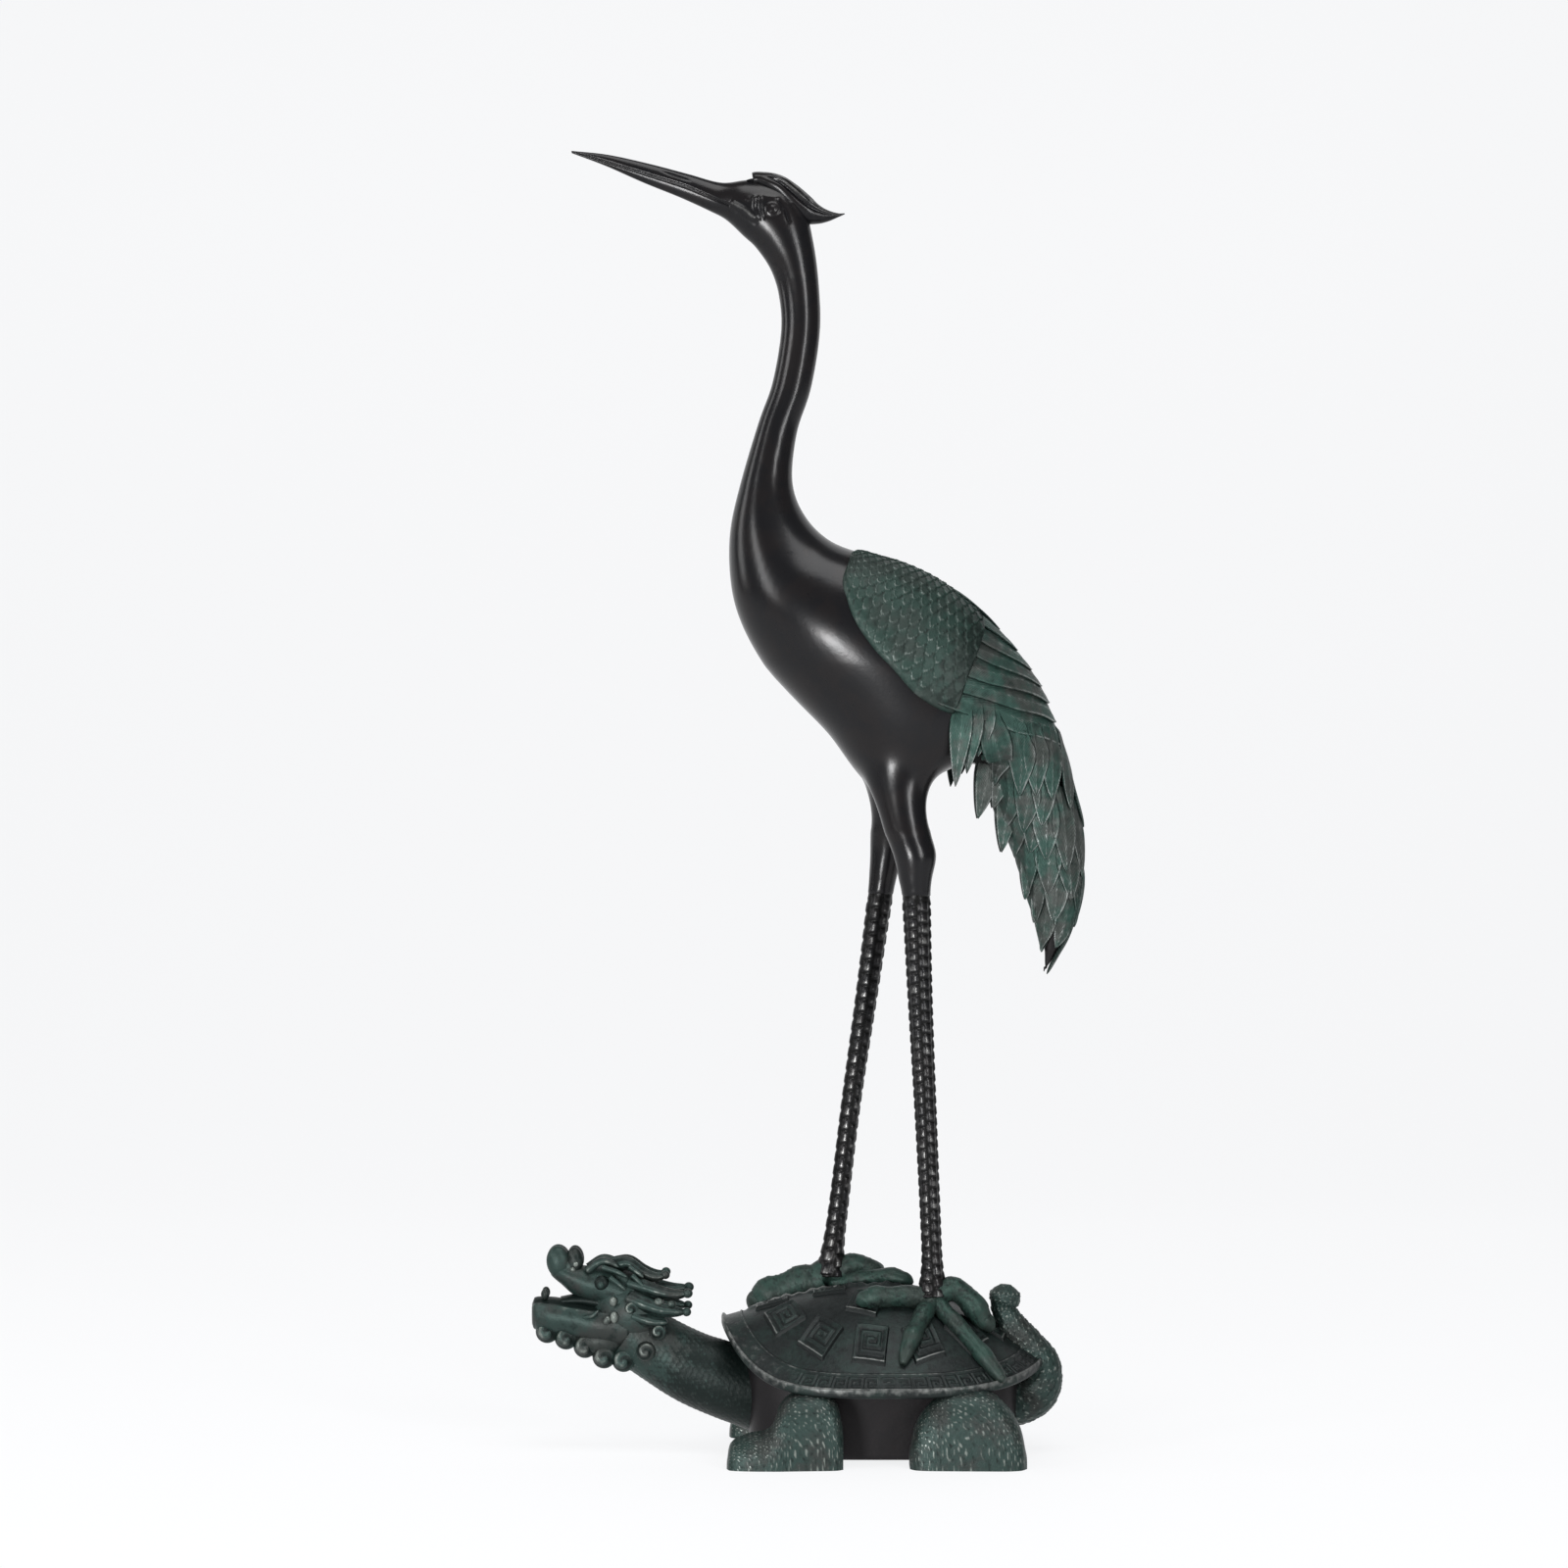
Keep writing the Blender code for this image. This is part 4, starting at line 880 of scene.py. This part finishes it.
# Turtle's shell: a low dome with a flaring rim that lifts in front. A band of running key pattern goes round the rim
# between two plain lines and stops short of the smooth front lip. Cast in one with its plaques.
shell_bronze = bronze(
    "shell_bronze", (0.006, 0.008, 0.008), (0.011, 0.014, 0.014), (0.014, 0.025, 0.022), (0.14, 0.145, 0.14),
    0.70, 0.7, 0.42, 0.34, 0.25, 0.4,
)
TURTLE = "green_bronze", "dragon_turtle"
DOME_POINTS, RIM_POINTS = 260, 900
KEY_UNIT, KEY_IN, KEY_OUT, LINE_AT = 14.0, 0.897, 0.985, 0.880
# From the band over the edge to the underside: how far in, how high from the edge, and how rubbed.
LIP = (
    (0.990, 3.2, 0.78), (0.996, 2.9, 0.84), (1.0, 1.4, 0.8), (1.0, -3.0, 0.6), (0.993, -4.6, 0.35),
    (0.97, -5.4, 0.2), (0.85, -6.9, 0.1), (0.6, -9.4, 0.1),
)
RUNNING_KEY = ("#######.", "#.....#.", "#.###.#.", "#.#...#.", "#.#####.", "#.......", "########")


def cut_pattern(drawing, across, along):
    """Height of a pattern drawn in cells, # raised and . sunk, read at fractions of it with its edges softened."""
    cells = np.array([[cell == "#" for cell in line] for line in drawing], float)
    rows, columns = cells.shape
    height = 0.0
    for da, db in ((-0.2, -0.2), (-0.2, 0.2), (0.2, -0.2), (0.2, 0.2)):
        row = np.clip(np.floor(across * rows + da), 0, rows - 1).astype(int)
        column = np.mod(np.floor(along * columns + db), columns).astype(int)
        height = height + cells[row, column] / 4
    return height


def squared(wave, power):
    """A sine or cosine swollen towards 1 and -1, which makes an oval more square."""
    return np.sign(wave) * np.abs(wave) ** power


def rim_plan(count):
    """Outline of the shell in plan at even turns."""
    turn = ring_turns(count)
    power = 2 / SQUARENESS
    return SHELL_LONG / 2 * squared(np.cos(turn), power), SHELL_WIDE / 2 * squared(np.sin(turn), power)


plan_x, plan_y = rim_plan(DOME_POINTS)
share = np.concatenate([np.linspace(0.02, 0.88, 72), [0.885]])
x, y = share[:, None] * plan_x, share[:, None] * plan_y
z = shell_height(x, y)
z[-1] -= 3
KEEL_FRONT, KEEL_BACK, KEEL_FADE, KEEL_WIDE = -112, 96, 8, 4.5
keel = bell(y, 0, KEEL_WIDE) * ramp(x, KEEL_FRONT, KEEL_FADE) * ramp(KEEL_BACK, x, KEEL_FADE)
crust = keel * (3.2 + 1.4 * np.sin(x / 2.4) * np.sin(x / 5.1 + 1))
dome = plain(np.stack([x, y, z + crust], -1), 0.34 + (0.28 + 0.3 * (x < -35)) * keel)

plan_x, plan_y = rim_plan(RIM_POINTS)
back = plan_x / (SHELL_LONG / 2)
step = np.hypot(np.diff(plan_x, append=plan_x[:1]), np.diff(plan_y, append=plan_y[:1]))
along = np.concatenate([[0], np.cumsum(step)[:-1]])
along = along / step.sum() * round(step.sum() / KEY_UNIT)
share = np.concatenate([[0.862, 0.868, 0.874, LINE_AT, 0.886, 0.892], np.linspace(KEY_IN, KEY_OUT, 22)])
key = cut_pattern(RUNNING_KEY, (share[:, None] - KEY_IN) / (KEY_OUT - KEY_IN), along[None])
front = 1 - ramp(back, -0.62, 0.12)
key = key * (1 - front) + 0.75 * front
line = bell(share, LINE_AT, 0.006)[:, None]
inside = share[:, None] > 0.896
lift = np.where(inside, 1.1 * key - 0.3, 0.2) + 1.1 * line
lift[0] = -3
x, y = share[:, None] * plan_x, share[:, None] * plan_y
band = np.stack([x, y, shell_height(x, y) + lift], -1)
band_relief = np.where(inside, 0.16 + 0.42 * key + 0.16 * front, 0.4) + 0.38 * line
lip = [np.stack([plan_x * inset, plan_y * inset, rim_height(back) + rise], -1) for inset, rise, wear_and_shade in LIP]
lip_relief = np.array([[wear_and_shade] for inset, rise, wear_and_shade in LIP]) + back * 0
rim = plain(np.concatenate([band, lip]), np.concatenate([band_relief, lip_relief]))
make_piece("turtle_shell", [dome, rim], shell_bronze, *TURTLE)


# Plaques: raised squares on the shell, each with a border and a squared spiral sunk inside it. Cast with the shell.
PLAQUE_SIDE, PLAQUE_HIGH, FRET_DEEP = 26, 3.0, 1.3
PLAQUE_ROWS = ((0.685, 13), (0.33, 5))  # share of the way out to the rim, and how many stand there
SQUARE_KEY = (
    "###########",
    "#.........#",
    "#.#######.#",
    "#.#.....#.#",
    "#.#.###.#.#",
    "#.#.#...#.#",
    "#.#.#####.#",
    "#.#.......#",
    "#.#########",
    "#..........",
    "###########",
)


def plaque(share, turn, side):
    """Square plate lying on the shell, its sides splayed; its face follows the dome, its outer edge is rubbed."""
    middle = np.array([SHELL_LONG / 2 * share * math.cos(turn), SHELL_WIDE / 2 * share * math.sin(turn)])
    radial = unit(np.array([math.cos(turn) * SHELL_LONG, math.sin(turn) * SHELL_WIDE]))
    tangent = np.array([-radial[1], radial[0]])
    level = np.concatenate([[-1.1, -1.04, -1.0], np.linspace(-0.97, 0.97, 34), [1.0, 1.04, 1.1]])
    a, b = np.meshgrid(level, level, indexing="ij")
    flat = middle + (radial * a[..., None] + tangent * b[..., None]) * side / 2
    ring = np.maximum(np.abs(a), np.abs(b))
    key = np.where(ring < 0.97, cut_pattern(SQUARE_KEY, a / 2 + 0.5, np.clip(b / 2 + 0.5, 0, 0.999)), 1)
    lift = np.interp(ring, [0.97, 1.0, 1.04, 1.1], [1.0, 0.85, 0.1, -0.6]) * PLAQUE_HIGH - FRET_DEEP * (1 - key)
    top = np.concatenate([flat, (shell_height(flat[..., 0], flat[..., 1]) + lift)[..., None]], -1)
    relief = np.where(ring < 1.0, 0.18 + 0.34 * key + 0.45 * ramp(a, 0.86, 0.1), 0.1)
    under = np.flip(top, 1)[:, ::13] - [0, 0, 4]
    return plain(np.concatenate([top, under], axis=1), np.pad(relief, ((0, 0), (0, under.shape[1]))))


plaques = []
for share, count in PLAQUE_ROWS:
    plaques += [plaque(share, (k + 0.5) * 2 * math.pi / count, PLAQUE_SIDE) for k in range(count)]
make_piece("turtle_plaques", plaques, shell_bronze, *TURTLE)


# Belly: a smooth brown-black block under the shell that the statue also rests on.
belly_bronze = bronze(
    "belly_bronze", (0.006, 0.005, 0.006), (0.009, 0.008, 0.009), (0.012, 0.010, 0.011), (0.05, 0.046, 0.046),
    0.9, 0.6, 0.42, 0.38, 0.12, 0.3,
)
BELLY_HALF_LONG, BELLY_HALF_WIDE, BELLY_SQUARE = 108, 55, 0.6
turn = ring_turns(160)
belly_x = squared(np.cos(turn), BELLY_SQUARE) * BELLY_HALF_LONG
belly_y = squared(np.sin(turn), BELLY_SQUARE) * BELLY_HALF_WIDE
rings = []
for z, grow in [(0, 0.97), (0.6, 0.99), (2, 1.0)] + [(4 + 3 * k, 1 + 0.0014 * k) for k in range(24)]:
    rings.append(np.stack([belly_x * grow, belly_y * grow, turn * 0 + z], -1))
make_piece("turtle_belly", [plain(np.array(rings))], belly_bronze, *TURTLE)


# Turtle's feet: rounded blocks with flat soles, covered in small overlapping scales. Cast with the belly. Figures
# are x, height and half width at each station.
turtle_bronze = bronze(
    "turtle_bronze", (0.006, 0.011, 0.010), (0.021, 0.038, 0.034), (0.030, 0.029, 0.028), (0.16, 0.18, 0.165),
    0.66, 0.7, 0.45, 0.32, 0.28, 0.4,
)
FORE_FOOT = [
    (-125.5, 5, 13), (-122, 19, 22), (-108, 26, 26), (-92, 30, 27), (-84, 44, 27),
    (-74, 56, 26), (-50, 58, 24), (-38, 50, 22), (-33, 30, 17),
]
HIND_FOOT = [
    (20, 12, 14), (25, 34, 21), (36, 50, 24), (52, 59, 25), (82, 60, 26), (98, 48, 26), (108, 32, 22), (113, 10, 13),
]
FOOT_SIDE, FOOT_SCALE_LONG, FOOT_SCALE_WIDE = -87, 4.6, 5.4


def foot(stations):
    """Flat-soled block along x: at each station a D whose flat side is down, bossed with scales."""
    rows = through(stations, 116)
    turn = np.linspace(0, math.pi, 76)
    y = FOOT_SIDE + rows[:, 2:3] * squared(np.cos(turn), 0.8)
    z = rows[:, 1:2] * np.sin(turn) ** 0.6
    x = np.broadcast_to(rows[:, :1], y.shape)
    shape = np.stack([x, y, z], -1)
    pattern = scales(reached(rows[:, :2])[:, None] / FOOT_SCALE_LONG, (turn * 40 / FOOT_SCALE_WIDE)[None])
    middle = np.stack([rows[:, 0], rows[:, 0] * 0 + FOOT_SIDE, rows[:, 1] * 0.3], -1)[:, None]
    out = unit(shape - middle)
    shape = shape + out * ((pattern - 0.6) * 0.9 * np.sin(turn) ** 0.3)[..., None]
    shape[..., 2] = np.maximum(shape[..., 2], 0)
    sole = shape[:, ::-1][:, ::15] * [1, 1, 0]
    relief = np.pad(0.04 + 0.94 * pattern, ((0, 0), (0, sole.shape[1])))
    return plain(np.concatenate([shape, sole], 1), relief)


def ball(centre, radii, sides=28, rings=16, turned=0.0):
    """Ellipsoid, leaned in the side-on plane by turned degrees."""
    tilt = np.linspace(0.03, math.pi - 0.03, rings)[:, None]
    turn = ring_turns(sides)[None]
    shape = np.stack([np.sin(tilt) * np.cos(turn), np.sin(tilt) * np.sin(turn), np.cos(tilt) + 0 * turn], -1)
    shape = shape * np.asarray(radii, float)
    c, s = math.cos(math.radians(turned)), math.sin(math.radians(turned))
    x, y, z = np.moveaxis(shape, -1, 0)
    return np.stack([x * c + z * s, y, z * c - x * s], -1) + np.asarray(centre, float)


limbs = [foot(FORE_FOOT), foot(HIND_FOOT)]
limbs += [plain(ball((x, -63, 36), (24, 34, 22), 40, 24), 0.4) for x in (-62, 68)]
make_piece("turtle_feet", mirrored(limbs), turtle_bronze, *TURTLE)


# Turtle's neck and tail: round and scaled, with painted shade darkening the neck where it goes in under the shell;
# the tail curls up behind the shell to a knob. Cast with the belly. The neck has x, y, z, half width and half height,
# the tail a radius.
NECK_SHADE_FROM, NECK_SHADE_LONG = -192, 40
NECK = [
    (-90, 0, 42, 29, 30), (-128, 0, 57, 30, 31), (-155, 0, 67.5, 28, 29.5),
    (-182, 0, 82.5, 25.5, 27.5), (-206, 0, 98, 24, 26.5),
]
TAIL = [
    (92, 0, 44, 20), (110, -2, 41.5, 20.5), (125.5, -5, 51, 19.5), (129, -8, 70, 16.5),
    (118.5, -10, 87, 14), (106, -11, 102, 12.5), (99, -11, 116, 10), (99.5, -11, 124, 12.5),
    (100, -11, 131, 11.5), (100.5, -11, 136.5, 4),
]


def scaled_limb(path, heights, widths, out, pitch, depth, sides, rub, reverse=False):
    """Bar with overlapping scales: rows along it, and as many round it as fit its widest part."""
    rings, turn = bar(path, heights, widths, sides, out)
    rows = reached(path)[:, None] / pitch * (-1 if reverse else 1)
    count = round(2 * math.pi * float(np.max(widths)) / (pitch * 1.15))
    pattern = scales(rows + 100, turn / (2 * math.pi) * count)
    centre = path[:, None]
    rings = rings + unit(rings - centre) * ((pattern - 0.6) * depth)[..., None]
    return rings, 0.5 + (pattern - 0.5) * rub


row = through(NECK, 136)
neck, wear_and_shade = scaled_limb(row[:, :3], row[:, 4], row[:, 3], (0, 0, 1), 4.6, 0.5, 140, 0.4, True)
# Painted shade: the neck's colour is darkened towards the shell, where it goes in under it.
wear_and_shade = wear_and_shade - 0.40 * ramp(row[:, :1], NECK_SHADE_FROM, NECK_SHADE_LONG)
row = through(TAIL, 200)
tail = scaled_limb(row[:, :3], row[:, 3], row[:, 3], (0, 1, 0), 6.4, 1.2, 100, 0.8)
make_piece("turtle_neck_and_tail", [plain(neck, wear_and_shade), plain(*tail)], turtle_bronze, *TURTLE)


# Dragon's head: jaws open on a dark mouth, a nose of two bulbs, ridged brows, a mane swept back in blunt locks and a
# beard of round curls with a spiral cut in each. Cast with the neck. Figures are x, y, z, half height, half width.
UPPER_JAW = [
    (-204, 0, 126, 20, 22), (-226, 0, 134, 17, 20), (-244, 0, 138, 13.5, 17), (-258, 0, 144.5, 9.5, 14),
    (-267, 0, 149, 7, 10), (-270, 0, 150, 4, 6),
]
LOWER_JAW = [
    (-206, 0, 102, 20, 25), (-230, 0, 104, 18, 24), (-252, 0, 108, 16, 21), (-270, 0, 111, 15.5, 18),
    (-280, 0, 112, 15, 15), (-283.8, 0, 112, 13, 12), (-285.4, 0, 112, 9.5, 8),
]
MOUTH_BACK, RIM_BACK, MOUTH_HALF = -216, -222, 52.0


def jaw(stations, dark=0.0):
    """Bar through the stations; the part of it within so many degrees of the top is the dark inside of the mouth."""
    row = through(stations, 72)
    rings, turn = bar(row[:, :3], row[:, 3], row[:, 4], 64)
    fold = from_top(turn)
    wrinkle = np.sin(row[:, :1] / 3.1) * np.sin(turn * 3 + row[:, :1] / 9)
    mouth = ramp(dark, fold, 5) * (row[:, :1] < MOUTH_BACK)
    rim = bell(fold - dark, 5, 5) * (dark > 0) * (row[:, :1] < RIM_BACK)
    centre = row[:, None, :3]
    rings = rings + unit(rings - centre) * (0.22 * wrinkle - 1.4 * mouth + 0.9 * rim)[..., None]
    return plain(rings, (0.42 + 0.08 * wrinkle + 0.22 * rim) * (1 - mouth) + 0.02 * mouth)


def lock(points, radius, ribs=2, taper=0.45):
    """Blunt lock of hair, grooved along its length."""
    path = through(points, 30)
    s = np.linspace(0, 1, 30)
    r = radius * (1 - taper * s) * np.sqrt(np.clip(1 - s**10, 0.02, 1))
    rings, turn = bar(path, r, r, 18, (0, 1, 0))
    groove = 0.5 + 0.5 * np.cos(turn * 2 * ribs)
    return plain(swell(rings, path[:, None], 0.86 + 0.2 * groove), 0.14 + (0.48 + 0.14 * s[:, None]) * groove)


def whorl(x, y, z, radius, turns=6.0):
    """Round curl of hair with a spiral groove cut in its outer face."""
    tilt = np.linspace(0.03, math.pi - 0.03, 26)[:, None]
    turn = ring_turns(34)[None]
    coil = 1.5 * np.cos(turn + turns * tilt) * np.clip(1.7 - tilt, 0, 1) * ramp(tilt, 0, 0.3)
    shape = np.stack([np.sin(tilt) * np.cos(turn), -0.85 * np.cos(tilt) + 0 * turn, np.sin(tilt) * np.sin(turn)], -1)
    shape = shape * (radius + 0.55 * coil)[..., None] + np.array([x, y, z])
    return plain(shape, 0.40 + 0.26 * coil)


# Nose bulbs, nostril, lip, cheek, eye and the small knobs of cheek and mane: middle, half sizes, points round, rings,
# degrees it leans, and how rubbed it is.
KNOBS = (
    ((-263.6, -5.5, 154.2), (10.0, 8, 13.4), 36, 22, -8, 0.5),
    ((-254.5, -5, 150), (7.0, 7, 9.5), 28, 16, 0, 0.42),
    ((-250.2, -7.5, 156.4), (6.8, 6.4, 10.2), 28, 18, -6, 0.3),
    ((-249.5, -12, 153.5), (2.6, 2.0, 2.8), 16, 10, 0, 0.9),
    ((-252.0, -12, 148.6), (2.2, 1.8, 2.0), 16, 10, 0, 0.85),
    ((-274.6, -8, 128), (3.4, 3.4, 4.6), 18, 12, 0, 0.3),
    ((-202, -11, 112), (26, 16, 23), 40, 24, 0, 0.42),
    ((-228, -17, 138), (6.4, 5, 6.4), 24, 16, 0, 0.06),
    ((-228.6, -20.6, 137), (3.0, 2.8, 3.2), 20, 14, 0, 0.5),
    ((-218.5, -24.5, 124), (3.2, 3.2, 4.0), 20, 14, 0, 0.8),
    ((-217.6, -26.5, 111.5), (3.2, 3.2, 4.6), 20, 14, 0, 0.85),
    ((-223.5, -25, 109), (3.4, 3.2, 3.6), 20, 14, 0, 0.7),
    ((-181.6, -26, 124), (3.6, 3.0, 3.2), 20, 14, 0, 0.75),
    ((-171, -25.5, 122.4), (3.4, 3.0, 3.0), 20, 14, 0, 0.7),
    ((-176.6, -12, 144.4), (3.8, 3.6, 3.6), 20, 14, 0, 0.45),
    ((-158.2, -22.5, 130.6), (4.2, 3.8, 4.0), 20, 14, 0, 0.5),
    ((-159, -24, 115.6), (3.8, 3.6, 3.6), 20, 14, 0, 0.5),
)
# Locks of the lip, brow, cheek and mane: places along each, its radius, then its ribs and how much it narrows.
LOCKS = (
    ([(-242, -20, 110.5), (-235, -23, 112.5), (-230.5, -24, 117)], 2.3, 1, 0.2),
    ([(-240, -12, 148), (-230, -14, 155), (-222, -15, 155), (-214, -16, 151)], 4.2, 1),
    ([(-227, -16, 151), (-217, -19, 148), (-207, -21, 143.5)], 3.0, 1, 0.3),
    ([(-221, -20, 143), (-214, -22, 138), (-208.5, -23, 133)], 3.0, 1, 0.3),
    ([(-205, -15, 151), (-199, -18, 147), (-194, -19, 143)], 2.8, 1, 0.3),
    ([(-203, -19, 144.5), (-197, -21, 139), (-192.5, -22, 134)], 2.8, 1, 0.3),
    ([(-226, -6, 149), (-214, -8, 152.5), (-206, -9, 153), (-195, -11, 146), (-185, -12, 142.5),
     (-176, -12, 143.6)], 6.2),
    ([(-206, -14, 138), (-194, -18, 135), (-182, -21, 131.5), (-170, -22, 129.5), (-158, -22.5, 130.4)], 7.0),
    ([(-206, -18, 126), (-192, -23, 121), (-178, -25, 117), (-160, -24, 115.4)], 7.8),
    ([(-202, -21, 112), (-188, -25, 108), (-174, -25, 107)], 6.5),
)
CURLS = ((-182, -24, 99.5, 6.6), (-192, -24.5, 84, 8.0), (-204, -23, 118, 6.5))
BEARD = ((-273, 97.6), (-257.5, 92.6), (-242, 86), (-226.5, 77.8), (-210.5, 75.2))
head = [jaw(UPPER_JAW), jaw(LOWER_JAW, MOUTH_HALF), plain(ball((-208, 0, 117), (30, 24, 30), 48, 28), 0.4)]
head.append(plain(ball((-228, 0, 90), (26, 20, 14), 40, 20), 0.38))
mouth = through([(-206, 0, 119), (-230, 0, 121.5), (-246, 0, 123), (-262, 0, 122)], 30)
head.append(plain(bar(mouth, np.linspace(9, 3.5, 30), np.linspace(18, 9, 30), 24)[0], 0.0))
side = [plain(ball(*figures), wear_and_shade) for *figures, wear_and_shade in KNOBS]
side += [lock(*figures) for figures in LOCKS] + [whorl(*figures) for figures in CURLS]
side += [whorl(x, -6 - 2.2 * k, z, 9.4, 5.0) for k, (x, z) in enumerate(BEARD)]
make_piece("dragon_head", head + mirrored(side), turtle_bronze, *TURTLE)
